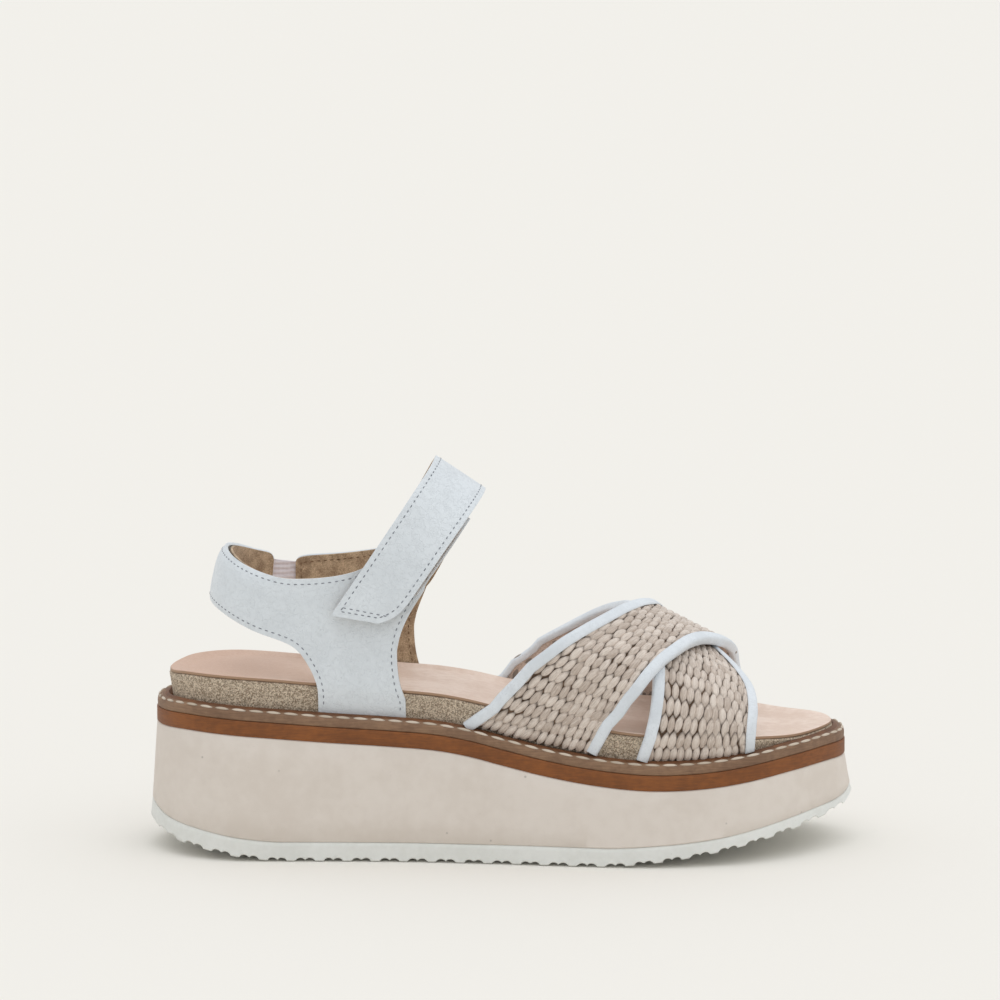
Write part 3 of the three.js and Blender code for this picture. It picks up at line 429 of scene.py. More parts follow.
    def on_heel(self, angle: Array, z: Array) -> Frames:
        """The foot side of the heel strap.

        Args:
            angle: degrees from the back, negative on the outer side.
            z: heights.

        Returns:
            Its frames there.
        """
        angle, z = np.broadcast_arrays(np.asarray(angle, float), z)
        outside = self.on_arch_at(self.seam_x, z, -1)
        inside = self.on_arch_at(self.seam_x, z, 1)
        middle = (outside.point[..., 1] + inside.point[..., 1]) / 2
        reach = (inside.point[..., 1] - outside.point[..., 1]) / 2
        bottom = self.heel_top - self.heel_height
        back = self.heel_reach - self.heel_lean * np.clip((z - bottom) / self.heel_height, -1, 1)
        turn = np.radians(angle)
        point = stack(self.seam_x - back * np.cos(turn), middle + reach * np.sin(turn), z)
        lean = self.heel_lean / self.heel_height * np.cos(turn)
        round_back = unit(stack(-np.cos(turn) / back, np.sin(turn) / reach, lean / back))
        at_seam = np.where((angle < 0)[..., None], outside.normal, inside.normal)
        share = smoothstep(90 - np.abs(angle), 0, 28)[..., None]
        return Frames(point, unit(lerp(at_seam, round_back, share)))


# ------------------------------------------------------------------ modelling by operators


def pick(piece: Piece) -> None:
    """Makes one piece the only selected and the active one."""
    bpy.ops.object.select_all(action="DESELECT")
    piece.select_set(True)
    bpy.context.view_layer.objects.active = piece


def edit(piece: Piece, *steps: Callable[[], object]) -> None:
    """Runs operators in edit mode on a whole piece.

    Args:
        piece: the piece.
        steps: calls that each run one operator.
    """
    pick(piece)
    bpy.ops.object.mode_set(mode="EDIT")
    bpy.ops.mesh.select_all(action="SELECT")
    for step in steps:
        step()
    bpy.ops.object.mode_set(mode="OBJECT")


def modify(piece: Piece, kind: str, **settings: object) -> None:
    """Adds a modifier and applies it.

    Args:
        piece: the piece.
        kind: the modifier's type.
        settings: its values.
    """
    pick(piece)
    modifier = piece.modifiers.new(kind.title(), kind)
    for key, value in settings.items():
        setattr(modifier, key, value)
    bpy.ops.object.modifier_apply(modifier=modifier.name)


def close_up(piece: Piece, distance: float = 1e-6) -> None:
    """Merges doubled vertices, in metres, and turns all faces outwards."""
    edit(
        piece,
        lambda: bpy.ops.mesh.remove_doubles(threshold=distance),
        lambda: bpy.ops.mesh.normals_make_consistent(inside=False),
    )


def subdivide(piece: Piece, levels: int = 3) -> None:
    """Smooths a piece with a subdivision surface."""
    modify(
        piece, "SUBSURF", levels=levels, render_levels=levels, boundary_smooth="PRESERVE_CORNERS"
    )


def thicken(piece: Piece, thickness: float) -> None:
    """Gives a sheet its thickness, in millimetres, on its outer side."""
    modify(
        piece, "SOLIDIFY", thickness=thickness * MM, offset=1.0,
        use_even_offset=True, use_quality_normals=True,
    )


def round_edges(piece: Piece, width: float = 0.35) -> None:
    """Rounds a piece's sharp edges, by a width in millimetres."""
    modify(
        piece, "BEVEL", width=width * MM, segments=2, limit_method="ANGLE",
        angle_limit=math.radians(MOULDED_EDGE), use_clamp_overlap=True,
    )


def smooth(piece: Piece, sharp: float) -> None:
    """Shades a piece smooth, but for edges sharper than an angle."""
    pick(piece)
    bpy.ops.object.shade_smooth_by_angle(angle=math.radians(sharp))


def moulded(name: str, places: Array) -> Piece:
    """Adds a grid and moulds it.

    Args:
        name: the piece's name.
        places: rows × columns of points, in millimetres.

    Returns:
        The piece.
    """
    rows, columns = places.shape[:2]
    bpy.ops.object.select_all(action="DESELECT")
    bpy.ops.mesh.primitive_grid_add(x_subdivisions=columns - 1, y_subdivisions=rows - 1, size=2)
    piece = bpy.context.object
    piece.name = piece.data.name = name
    flat = points_of(piece)
    column = np.rint((flat[:, 0] + 1) / 2 * (columns - 1)).astype(int)
    row = np.rint((flat[:, 1] + 1) / 2 * (rows - 1)).astype(int)
    place(piece, places[row, column] * MM)
    return piece


def points_of(piece: Piece) -> Array:
    """A piece's vertices, in metres."""
    flat = np.empty(len(piece.data.vertices) * 3, np.float32)
    piece.data.vertices.foreach_get("co", flat)
    return flat.reshape(-1, 3).astype(float)


def place(piece: Piece, points: Array) -> None:
    """Puts a piece's vertices at points, in metres."""
    piece.data.vertices.foreach_set("co", points.astype(np.float32).ravel())
    piece.data.update()


def sheet(name: str, places: Array, outward: Array) -> Piece:
    """A moulded open sheet whose faces point outwards.

    Args:
        name: the piece's name.
        places: rows × columns of points, in millimetres.
        outward: the direction out of the sheet at its middle.

    Returns:
        The piece.
    """
    piece = moulded(name, places)
    rows, columns = places.shape[0] // 2, places.shape[1] // 2
    across = places[rows, columns] - places[rows, columns - 1]
    along = places[rows, columns] - places[rows - 1, columns]
    if np.dot(np.cross(across, along), outward) < 0:
        edit(piece, bpy.ops.mesh.flip_normals)
    return piece


def join(pieces: Sequence[Piece], name: str) -> Piece:
    """Joins pieces into the first one.

    Args:
        pieces: the pieces.
        name: the joined piece's name.

    Returns:
        The joined piece.
    """
    pick(pieces[0])
    for piece in pieces[1:]:
        piece.select_set(True)
    bpy.ops.object.join()
    pieces[0].name = pieces[0].data.name = name
    return pieces[0]


def tag(piece: Piece, name: str, values: Array) -> None:
    """Stores a value or a vector for each vertex, for a material to read."""
    kind = "FLOAT" if values.ndim == 1 else "FLOAT_VECTOR"
    layer = piece.data.attributes.new(name, kind, "POINT")
    layer.data.foreach_set(
        "value" if values.ndim == 1 else "vector", values.astype(np.float32).ravel()
    )


@dataclass
class Copies:
    """Where the copies of one small shape go, in millimetres."""

    at: Array
    ahead: Array
    up: Array
    size: Array

    def axes(self) -> Array:
        """Each copy's own axes as rows: ahead, across and up, all square to each other."""
        ahead = unit(self.ahead)
        up = unit(self.up - ahead * np.sum(self.up * ahead, -1, keepdims=True))
        return np.stack([ahead, np.cross(up, ahead), up], axis=1)


def repeat(
    name: str, model: Piece, copies: Copies, seed: int = 1, shade: Array | None = None
) -> Piece:
    """Repeats a small shape, each copy with its own vertices, and removes the model.

    Args:
        name: the piece's name.
        model: the shape, two long, wide and high, about the origin.
        copies: where the copies go.
        seed: seed of the tone that each copy gets.
        shade: painted shade for each of the model's points, or None for its share of the way to its
            end.

    Returns:
        The piece that holds all the copies.
    """
    corners = points_of(model)
    faces = np.array([list(f.vertices) for f in model.data.polygons if len(f.vertices) == 4])
    triangles = np.array([list(f.vertices) for f in model.data.polygons if len(f.vertices) == 3])
    count, each = len(copies.at), len(corners)
    scaled = corners[None] * (copies.size / 2)[:, None, :]
    moved = np.einsum("nvk,nkj->nvj", scaled, copies.axes()) + copies.at[:, None, :]
    shift = (np.arange(count) * each)[:, None, None]
    all_faces: list[list[int]] = []
    for kind in (faces, triangles):
        if len(kind):
            all_faces += (kind[None] + shift).reshape(-1, kind.shape[1]).tolist()
    mesh = bpy.data.meshes.new(name)
    mesh.from_pydata((moved.reshape(-1, 3) * MM).tolist(), [], all_faces)
    piece = bpy.data.objects.new(name, mesh)
    bpy.context.scene.collection.objects.link(piece)
    tones = np.random.default_rng(seed).random(count)
    tag(piece, "tone", np.repeat(tones, each))
    lie = scaled + (tones * 97)[:, None, None] * np.array([1.0, 0.37, 0.0])
    tag(piece, "lie", lie.reshape(-1, 3))
    # painted shade: the end attribute says how far each point is darkened, by default more towards
    # the copy's ends
    tag(piece, "end", np.tile(np.abs(corners[:, 0]) if shade is None else shade, count))
    bpy.data.objects.remove(model)
    return piece


def bead(segments: int, rings: int) -> Piece:
    """A small rounded bead that lies along X, to be repeated."""
    bpy.ops.object.select_all(action="DESELECT")
    bpy.ops.mesh.primitive_uv_sphere_add(
        segments=segments, ring_count=rings, radius=1, rotation=(0, math.pi / 2, 0)
    )
    bpy.ops.object.transform_apply(location=True, rotation=True, scale=True)
    return bpy.context.object


def spaced(path: Array, pitch: float) -> tuple[Array, Array]:
    """Places at an even pitch along a path.

    Args:
        path: points in order.
        pitch: the distance between two places; it is rounded to fill the path.

    Returns:
        The places and the path's direction there.
    """
    steps = np.linalg.norm(np.diff(path, axis=0), axis=1)
    run = np.concatenate([[0], np.cumsum(steps)])
    count = max(int(round(run[-1] / pitch)), 1)
    middles = (np.arange(count) + 0.5) * run[-1] / count
    at = np.stack([np.interp(middles, run, path[:, k]) for k in range(3)], -1)
    before = np.stack([np.interp(middles - 0.4, run, path[:, k]) for k in range(3)], -1)
    after = np.stack([np.interp(middles + 0.4, run, path[:, k]) for k in range(3)], -1)
    return at, unit(after - before)


# ------------------------------------------------------------------ shader effects and finishes

Colour = tuple[float, float, float]
Socket = bpy.types.NodeSocket
Node = bpy.types.Node


def shade_of(red: float, green: float, blue: float) -> Colour:
    """A display colour, 0 to 255, as the light values that shaders use."""

    def channel(value: float) -> float:
        """One channel."""
        share = value / 255
        return share / 12.92 if share <= 0.04045 else ((share + 0.055) / 1.055) ** 2.4

    return channel(red), channel(green), channel(blue)


class Graph:
    """A node tree that nodes are added to and wired in one call."""

    def __init__(self, tree: bpy.types.NodeTree) -> None:
        """Takes an empty tree."""
        self.tree = tree

    def add(
        self, kind: str, feeds: dict[str | int, object] | None = None, **settings: object
    ) -> Node:
        """Adds a node.

        Args:
            kind: the node's type.
            feeds: for each input, an output to link or a value to set.
            settings: the node's own properties.

        Returns:
            The node.
        """
        node = self.tree.nodes.new(kind)
        for key, value in settings.items():
            setattr(node, key, value)
        for key, value in (feeds or {}).items():
            self.feed(node.inputs[key], value)
        return node

    def feed(self, socket: Socket, value: object) -> None:
        """Links an output to an input, or sets the input to a value."""
        if isinstance(value, Socket):
            self.tree.links.new(value, socket)
        else:
            socket.default_value = value

    def math(self, operation: str, a: object, b: object = 0.0) -> Socket:
        """The result of an operation on one or two values."""
        return self.add("ShaderNodeMath", {0: a, 1: b}, operation=operation).outputs[0]

    def plus(self, a: object, b: object) -> Socket:
        """a + b."""
        return self.math("ADD", a, b)

    def minus(self, a: object, b: object) -> Socket:
        """a - b."""
        return self.math("SUBTRACT", a, b)

    def times(self, a: object, b: object) -> Socket:
        """a times b."""
        return self.math("MULTIPLY", a, b)

    def ramp(self, value: Socket, low: float, high: float) -> Socket:
        """0 where a value is below low, 1 above high, smooth between."""
        feeds = {"Value": value, "From Min": low, "From Max": high}
        node = self.add("ShaderNodeMapRange", feeds, interpolation_type="SMOOTHSTEP")
        return node.outputs["Result"]

    def blend(self, share: object, first: object, second: object, kind: str = "MIX") -> Socket:
        """Two colours mixed by a share."""
        node = self.add("ShaderNodeMix", data_type="RGBA", blend_type=kind)
        self.feed(node.inputs[0], share)
        for index, value in ((6, first), (7, second)):
            self.feed(node.inputs[index], (*value, 1.0) if isinstance(value, tuple) else value)
        return node.outputs[2]

    def noise(self, vector: object, scale: float, detail: float = 3, rough: float = 0.55) -> Socket:
        """Noise over a vector, from 0 to 1."""
        feeds = {"Vector": vector, "Scale": scale, "Detail": detail, "Roughness": rough}
        return self.add("ShaderNodeTexNoise", feeds).outputs["Fac"]

    def cells(self, vector: Socket, scale: float, output: str) -> Socket:
        """A cell pattern's distance or colour over a vector."""
        return self.add("ShaderNodeTexVoronoi", {"Vector": vector, "Scale": scale}).outputs[output]

    def place(self, scale: Colour = (1, 1, 1), attribute: str = "") -> Socket:
        """Object coordinates in millimetres, or an attribute's, stretched by a scale."""
        if attribute:
            source = self.add("ShaderNodeAttribute", attribute_name=attribute).outputs["Vector"]
            factor = scale
        else:
            source = self.add("ShaderNodeTexCoord").outputs["Object"]
            factor = tuple(1000 * each for each in scale)
        return self.add("ShaderNodeMapping", {"Vector": source, "Scale": factor}).outputs[0]


class Effects:
    """Patterns that several finishes share, each built once as a node group."""

    made: dict[str, bpy.types.NodeTree] = {}

    @classmethod
    def group(cls, name: str, inputs: dict[str, str], outputs: dict[str, str],
              wire: Callable[[Graph, bpy.types.Node, bpy.types.Node], None]) -> bpy.types.NodeTree:
        """Finds or builds a node group.

        Args:
            name: its name.
            inputs: its input names and socket types.
            outputs: its output names and socket types.
            wire: wires a graph between the group's input and output nodes.

        Returns:
            The group.
        """
        if name not in cls.made:
            tree = bpy.data.node_groups.new(name, "ShaderNodeTree")
            for direction, sockets in (("INPUT", inputs), ("OUTPUT", outputs)):
                for socket, kind in sockets.items():
                    tree.interface.new_socket(
                        socket, in_out=direction, socket_type=f"NodeSocket{kind}"
                    )
            graph = Graph(tree)
            wire(graph, graph.add("NodeGroupInput"), graph.add("NodeGroupOutput"))
            cls.made[name] = tree
        return cls.made[name]

    @classmethod
    def use(cls, graph: Graph, tree: bpy.types.NodeTree, feeds: dict[str, object]) -> Node:
        """Places a group in a material with its own values."""
        return graph.add("ShaderNodeGroup", feeds, node_tree=tree)

    @classmethod
    def grain(cls) -> bpy.types.NodeTree:
        """Pebbled grain with soft creases: a height from 0 to 1."""

        def wire(graph: Graph, given: Node, result: Node) -> None:
            """Wires pebbles, fine noise and long creases."""
            vector, size = given.outputs["Vector"], given.outputs["Pebble"]
            warp = graph.add(
                "ShaderNodeTexNoise", {"Vector": vector, "Scale": 0.6}
            ).outputs["Color"]
            bent = graph.add(
                "ShaderNodeVectorMath", {0: vector, 1: warp}, operation="ADD"
            ).outputs[0]
            pebbles = graph.add(
                "ShaderNodeTexVoronoi", {"Vector": bent, "Scale": size, "Smoothness": 0.35},
                feature="SMOOTH_F1"
            ).outputs["Distance"]
            rounded = graph.minus(1.0, graph.times(pebbles, pebbles))
            creases = graph.noise(bent, 0.32, 4, 0.6)
            folds = graph.ramp(graph.math("ABSOLUTE", graph.minus(creases, 0.5)), 0.0, 0.05)
            soft = graph.times(folds, given.outputs["Crease"])
            total = graph.plus(graph.times(rounded, 0.5), soft)
            graph.feed(result.inputs["Height"], total)

        inputs = {"Vector": "Vector", "Pebble": "Float", "Crease": "Float"}
        return cls.group("leather_grain", inputs, {"Height": "Float"}, wire)

    @classmethod
    def mottle(cls) -> bpy.types.NodeTree:
        """Two colours mixed by soft clouds, with finer clouds in them."""

        def wire(graph: Graph, given: Node, result: Node) -> None:
            """Wires coarse and fine clouds into a mix."""
            vector, scale = given.outputs["Vector"], given.outputs["Scale"]
            coarse = graph.noise(vector, scale, 3.0, 0.5)
            fine = graph.noise(vector, graph.times(scale, 7.0), 4.0, 0.5)
            both = graph.plus(graph.times(coarse, 0.6), graph.times(fine, 0.4))
            share = graph.ramp(both, 0.36, 0.64)
            mixed = graph.blend(share, given.outputs["Low"], given.outputs["High"])
            graph.feed(result.inputs["Color"], mixed)
            graph.feed(result.inputs["Share"], share)

        inputs = {"Vector": "Vector", "Scale": "Float", "Low": "Color", "High": "Color"}
        return cls.group("mottled_colour", inputs, {"Color": "Color", "Share": "Float"}, wire)

    @classmethod
    def specks(cls) -> bpy.types.NodeTree:
        """A mask of small scattered specks, 1 on a speck."""

        def wire(graph: Graph, given: Node, result: Node) -> None:
            """Wires round spots in a few of the cells."""
            feeds = {"Vector": given.outputs["Vector"], "Scale": given.outputs["Scale"]}
            cells = graph.add("ShaderNodeTexVoronoi", feeds)
            near = graph.minus(1.0, graph.ramp(cells.outputs["Distance"], 0.05, 0.16))
            chosen = graph.add("ShaderNodeSeparateColor", {0: cells.outputs["Color"]}).outputs[0]
            few = graph.math("LESS_THAN", chosen, given.outputs["Amount"])
            graph.feed(result.inputs["Mask"], graph.times(near, few))

        inputs = {"Vector": "Vector", "Scale": "Float", "Amount": "Float"}
        return cls.group("scattered_specks", inputs, {"Mask": "Float"}, wire)


@dataclass(frozen=True)
class Look:
    """What varies over a surface: its colour, its roughness by a share and a spread, its height."""

    colour: Socket
    share: Socket
    spread: float
    height: Socket


@dataclass(frozen=True)
class Finish:
    """A finish with two mottled colours; each kind adds its own relief and marks."""

    name: str
    low: Colour
    high: Colour
    rough: float = 0.6
    cloud: float = 0.06
    sheen: float = 0.0
    specular: float = 0.5
    relief: float = 0.1

    def material(self) -> bpy.types.Material:
        """Finds or builds the finish's material.

        Returns:
            The material.
        """
        name = f"{self.name}_finish"
        if name in bpy.data.materials:
            return bpy.data.materials[name]
        material = bpy.data.materials.new(name)
        material.use_nodes = True
        material.node_tree.nodes.clear()
        graph = Graph(material.node_tree)
        shader = graph.add("ShaderNodeBsdfPrincipled")
        shader.inputs["Sheen Weight"].default_value = self.sheen
        shader.inputs["Sheen Roughness"].default_value = 0.6
        shader.inputs["Specular IOR Level"].default_value = self.specular
        self.wire(graph, shader, self.look(graph))
        graph.add("ShaderNodeOutputMaterial", {"Surface": shader.outputs[0]})
        return material

    def clouds(self, graph: Graph, vector: Socket) -> Node:
        """The finish's two colours, mixed by clouds."""
        feeds = {
            "Vector": vector, "Scale": self.cloud,
            "Low": (*shade_of(*self.low), 1.0), "High": (*shade_of(*self.high), 1.0),
        }
        return Effects.use(graph, Effects.mottle(), feeds)

    def wire(self, graph: Graph, shader: Node, look: Look) -> None:
        """Feeds a look to the shader; the relief is its depth in millimetres."""
        graph.feed(shader.inputs["Base Color"], look.colour)
        spread = graph.times(look.share, look.spread)
        graph.feed(shader.inputs["Roughness"], graph.plus(spread, self.rough - look.spread / 2))
        feeds = {"Height": look.height, "Strength": 1.0, "Distance": self.relief * MM}
        graph.feed(shader.inputs["Normal"], graph.add("ShaderNodeBump", feeds).outputs[0])

    def look(self, graph: Graph) -> Look:
        """The finish's pattern; a plain finish has clouds and fine grit."""
        vector = graph.place()
        clouds = self.clouds(graph, vector)
        colour, share = clouds.outputs["Color"], clouds.outputs["Share"]
        return Look(colour, share, 0.1, graph.noise(vector, 2.4, 5, 0.6))


@dataclass(frozen=True)
class Leather(Finish):
    """Smooth grained leather with soft creases."""

    pebble: float = 1.3
    crease: float = 0.5

    def look(self, graph: Graph) -> Look:
        """Wires pebbled grain, faint clouds, painted shade in the grain's hollows and creases, and
        a worn sheen.
        """
        vector = graph.place()
        clouds = self.clouds(graph, vector)
        grain = Effects.use(
            graph, Effects.grain(), {"Vector": vector, "Pebble": self.pebble, "Crease": self.crease}
        ).outputs["Height"]
        # painted shade: the low parts of the grain, its hollows and creases, take a slightly darker
        # colour
        hollow_shade = graph.ramp(grain, 0.2, 0.5)
        dark = tuple(0.97 * each for each in shade_of(*self.low))
        colour = graph.blend(hollow_shade, dark, clouds.outputs["Color"])
        return Look(colour, clouds.outputs["Share"], 0.12, grain)


@dataclass(frozen=True)
class Suede(Finish):
    """Napped leather: clouded colour and a fine nap."""

    def look(self, graph: Graph) -> Look:
        """Wires brushed clouds and the nap."""
        vector = graph.place()
        clouds = self.clouds(graph, vector)
        nap = graph.noise(vector, 3.2, 6, 0.7)
        tipped = graph.blend(graph.ramp(nap, 0.3, 0.75), (0.55, 0.5, 0.45), (1.18, 1.16, 1.14))
        colour = graph.blend(1.0, clouds.outputs["Color"], tipped, "MULTIPLY")
        return Look(colour, clouds.outputs["Share"], 0.08, nap)


@dataclass(frozen=True)
class Cork(Finish):
    """Pressed cork granules with dark grains and pores."""

    granule: float = 2.3

    def look(self, graph: Graph) -> Look:
        """Wires granules, each with its own tone, and the gaps between them."""
        vector = graph.place()
        warp = graph.add(
            "ShaderNodeTexNoise", {"Vector": vector, "Scale": 1.6, "Detail": 2.0}
        ).outputs["Color"]
        slight = graph.add(
            "ShaderNodeVectorMath", {0: warp, "Scale": 0.4}, operation="SCALE"
        ).outputs[0]
        bent = graph.add("ShaderNodeVectorMath", {0: vector, 1: slight}, operation="ADD").outputs[0]
        tone = graph.cells(bent, self.granule, "Color")
        value = graph.add("ShaderNodeSeparateColor", {0: tone}).outputs[1]
        fine = graph.noise(vector, 2.8, 6, 0.7)
        share = graph.plus(graph.times(value, 0.5), graph.times(fine, 0.5))
        colour = graph.blend(
            graph.ramp(share, 0.25, 0.72), shade_of(*self.low), shade_of(*self.high)
        )
        pores = graph.ramp(graph.cells(bent, 1.9, "Distance"), 0.1, 0.34)
        chosen = graph.ramp(graph.noise(vector, 0.5, 3), 0.42, 0.58)
        hole = graph.times(graph.minus(1.0, pores), chosen)
        dark = tuple(0.45 * each for each in shade_of(*self.low))
        colour = graph.blend(hole, colour, dark)
        height = graph.minus(graph.plus(share, fine), hole)
        return Look(colour, fine, 0.08, height)


@dataclass(frozen=True)
class Speckled(Finish):
    """A moulded surface with fine grit and a few dark specks."""

    speck: float = 0.16
    amount: float = 0.12

    def look(self, graph: Graph) -> Look:
        """Wires the clouds, the grit and the specks."""
        vector = graph.place()
        clouds = self.clouds(graph, vector)
        mask = Effects.use(
            graph, Effects.specks(), {"Vector": vector, "Scale": self.speck, "Amount": self.amount}
        ).outputs["Mask"]
        tiny = Effects.use(
            graph, Effects.specks(), {"Vector": vector, "Scale": self.speck * 4, "Amount": 0.25}
        ).outputs["Mask"]
        dark = tuple(0.5 * each for each in shade_of(*self.low))
        colour = graph.blend(graph.times(mask, 0.6), clouds.outputs["Color"], dark)
        faint = tuple(0.86 * each for each in shade_of(*self.low))
        colour = graph.blend(graph.times(tiny, 0.6), colour, faint)
        grit = graph.noise(vector, 4.0, 4, 0.6)
        return Look(colour, clouds.outputs["Share"], 0.08, graph.minus(grit, mask))


@dataclass(frozen=True)
class Streaked(Finish):
    """A pressed board whose edge shows fine streaks along the sole."""

    stretch: float = 14.0

    def look(self, graph: Graph) -> Look:
        """Wires streaks that run level round the sole."""
        vector = graph.place((1 / self.stretch, 1 / self.stretch, 1.0))
        round_sole = graph.place()
        streak = graph.noise(vector, 2.6, 5, 0.65)
        clouds = self.clouds(graph, round_sole)
        dark = graph.blend(graph.ramp(streak, 0.3, 0.7), (0.78, 0.76, 0.74), (1.1, 1.1, 1.1))
        colour = graph.blend(1.0, clouds.outputs["Color"], dark, "MULTIPLY")
        return Look(colour, streak, 0.14, streak)


@dataclass(frozen=True)
class Strand(Finish):
    """Fibre or thread that runs along each copy of a small shape."""

    stretch: float = 9.0
    spread: float = 0.5
    # strength of the painted shade towards each copy's ends and low sides
    ends: float = 0.55

    def look(self, graph: Graph) -> Look:
        """Wires each copy's tone, the fibres along it and painted shade towards its ends and low
        sides.
        """
        vector = graph.place((1 / self.stretch, 1.0, 1.0), "lie")
        fibre = graph.noise(vector, 2.2, 4, 0.6)
        tone = graph.add("ShaderNodeAttribute", attribute_name="tone").outputs["Fac"]
        share = graph.plus(graph.times(tone, self.spread),
                           graph.times(fibre, 1 - self.spread))
        colour = graph.blend(graph.ramp(share, 0.2, 0.8), shade_of(*self.low), shade_of(*self.high))
        # painted shade: each copy darkens where its end attribute is high, at its ends where it
        # tucks under and, on raffia leaves, on its lower side
        end = graph.add("ShaderNodeAttribute", attribute_name="end").outputs["Fac"]
        tucked = graph.times(graph.ramp(end, 0.55, 1.0), self.ends)
        dark = tuple(0.4 * each for each in shade_of(*self.low))
        colour = graph.blend(tucked, colour, dark)
        return Look(colour, fibre, 0.2, fibre)


@dataclass(frozen=True)
class Ribbed(Finish):
    """Woven elastic: ribs along it and fine crossing threads."""

    rib: float = 1.9

    def look(self, graph: Graph) -> Look:
        """Wires the ribs by height, painted shade in the dips between ribs and threads, and the
        threads across them.
        """
        vector = graph.place()
        split = graph.add("ShaderNodeSeparateXYZ", {0: vector})
        wave = graph.math("SINE", graph.times(split.outputs["Z"], 2 * math.pi / self.rib))
        threads = graph.math("SINE", graph.times(split.outputs["X"], 2 * math.pi / 0.5))
        relief = graph.plus(graph.times(wave, 0.4), graph.times(threads, 0.15))
        height = graph.plus(relief, 0.5)
        clouds = self.clouds(graph, vector)
        # painted shade: the colour is darkened where the ribs and threads dip
        painted_rib_shade = graph.blend(graph.ramp(height, 0.0, 0.7), (0.94, 0.93, 0.94), (1.0, 1.0, 1.0))
        colour = graph.blend(1.0, clouds.outputs["Color"], painted_rib_shade, "MULTIPLY")
        return Look(colour, clouds.outputs["Share"], 0.1, height)


@dataclass(frozen=True)
class SockLeather(Finish):
    """The footbed's soft cover: pale, with pores and a burnished edge."""

    edge: Colour = (166, 134, 108)

    def look(self, graph: Graph) -> Look:
        """Wires the clouds, the pores, a darker heel seat and the edge."""
        vector = graph.place()
        clouds = self.clouds(graph, vector)
        pores = graph.ramp(graph.cells(vector, 1.6, "Distance"), 0.08, 0.3)
        along = graph.add("ShaderNodeSeparateXYZ", {0: vector}).outputs["X"]
        heel = graph.times(graph.minus(1.0, graph.ramp(along, -118.0, -40.0)), 0.8)
        warm = tuple(each * tint for each, tint in zip(shade_of(*self.low), (0.82, 0.68, 0.6)))
        colour = graph.blend(heel, clouds.outputs["Color"], warm)
        fine = graph.noise(vector, 1.1, 6, 0.7)
        colour = graph.blend(
            graph.times(graph.ramp(fine, 0.35, 0.7), 0.25), colour, shade_of(*self.high)
        )
        colour = graph.blend(graph.times(graph.minus(1.0, pores), 0.25), colour, warm)
        rim = graph.add("ShaderNodeAttribute", attribute_name="edge").outputs["Fac"]
        colour = graph.blend(graph.ramp(rim, 0.3, 0.8), colour, shade_of(*self.edge))
        return Look(colour, clouds.outputs["Share"], 0.14, graph.plus(pores, fine))


WHITE_LEATHER = Leather("white_leather", (218, 224, 229), (225, 231, 236), rough=0.44, relief=0.13)
BINDING_LEATHER = Leather(
    "binding_leather", (218, 224, 230), (228, 234, 240), rough=0.5, relief=0.03, crease=0.2,
    pebble=1.9
)
TAN_SUEDE = Suede(
    "tan_suede", (168, 144, 118), (222, 200, 170), rough=0.92, cloud=0.25, sheen=0.15, relief=0.22
)
VAMP_SUEDE = Suede(
    "vamp_lining", (214, 196, 184), (236, 222, 214), rough=0.85, cloud=0.2, sheen=0.2, relief=0.08
)
SOCK = SockLeather(
    "sock_leather", (226, 201, 184), (242, 223, 210), rough=0.62, cloud=0.05, relief=0.06
)
CORK = Cork("pressed_cork", (158, 138, 116), (234, 217, 194), rough=0.9, relief=0.3)
OUTSOLE_RUBBER = Speckled(
    "outsole_rubber", (222, 223, 218), (230, 231, 227), rough=0.62, relief=0.05, speck=0.1,
    amount=0.08
)
WEDGE_FOAM = Speckled(
    "wedge_foam", (219, 209, 199), (226, 217, 208), rough=0.8, relief=0.04, cloud=0.03, speck=0.24,
    amount=0.1
)
RUNNER_FOAM = Streaked("runner_foam", (123, 70, 24), (141, 82, 31), rough=0.6, relief=0.05)
WELT_BOARD = Streaked("welt_board", (126, 96, 73), (145, 114, 88), rough=0.62, relief=0.05)
RAND_LEATHER = Streaked("rand_leather", (100, 63, 36), (124, 80, 47), rough=0.6, relief=0.08)
# each strand's ends value sets how strong its painted shade is at its ends and low sides
PALE_THREAD = Strand(
    "welt_thread", (190, 176, 158), (216, 203, 187), rough=0.75, relief=0.12, ends=0.4
)
GREY_THREAD = Strand("seam_thread", (118, 122, 130), (146, 150, 158), rough=0.7, relief=0.08)
TAN_THREAD = Strand("lining_thread", (104, 80, 56), (130, 104, 76), rough=0.8, relief=0.08)
RAFFIA = Strand(
    "raffia", (180, 163, 149), (239, 227, 216), rough=0.42, sheen=0.1, relief=0.3, stretch=12.0,
    spread=0.22, ends=0.85
)
RAFFIA_GROUND = Suede(
    "raffia_ground", (96, 77, 62), (134, 112, 94), rough=0.95, cloud=0.8, relief=0.3
)
ELASTIC = Ribbed("elastic_web", (238, 233, 240), (243, 239, 244), rough=0.75, relief=0.25)
STRAP_FOAM = Suede(
    "strap_foam", (214, 204, 188), (228, 220, 206), rough=0.95, cloud=0.4, relief=0.2
)
FASTENER = Suede(
    "hook_and_loop", (206, 207, 210), (232, 233, 236), rough=0.9, cloud=0.9, sheen=0.3, relief=0.3
)
FLOOR = Finish(
    "studio_floor", (241, 238, 232), (241, 238, 232), rough=0.9, cloud=0.002, relief=0.01,
    specular=0.0
)


def wear(piece: Piece, finish: Finish) -> None:
    """Gives a piece one finish all over."""
    piece.data.materials.clear()
    piece.data.materials.append(finish.material())


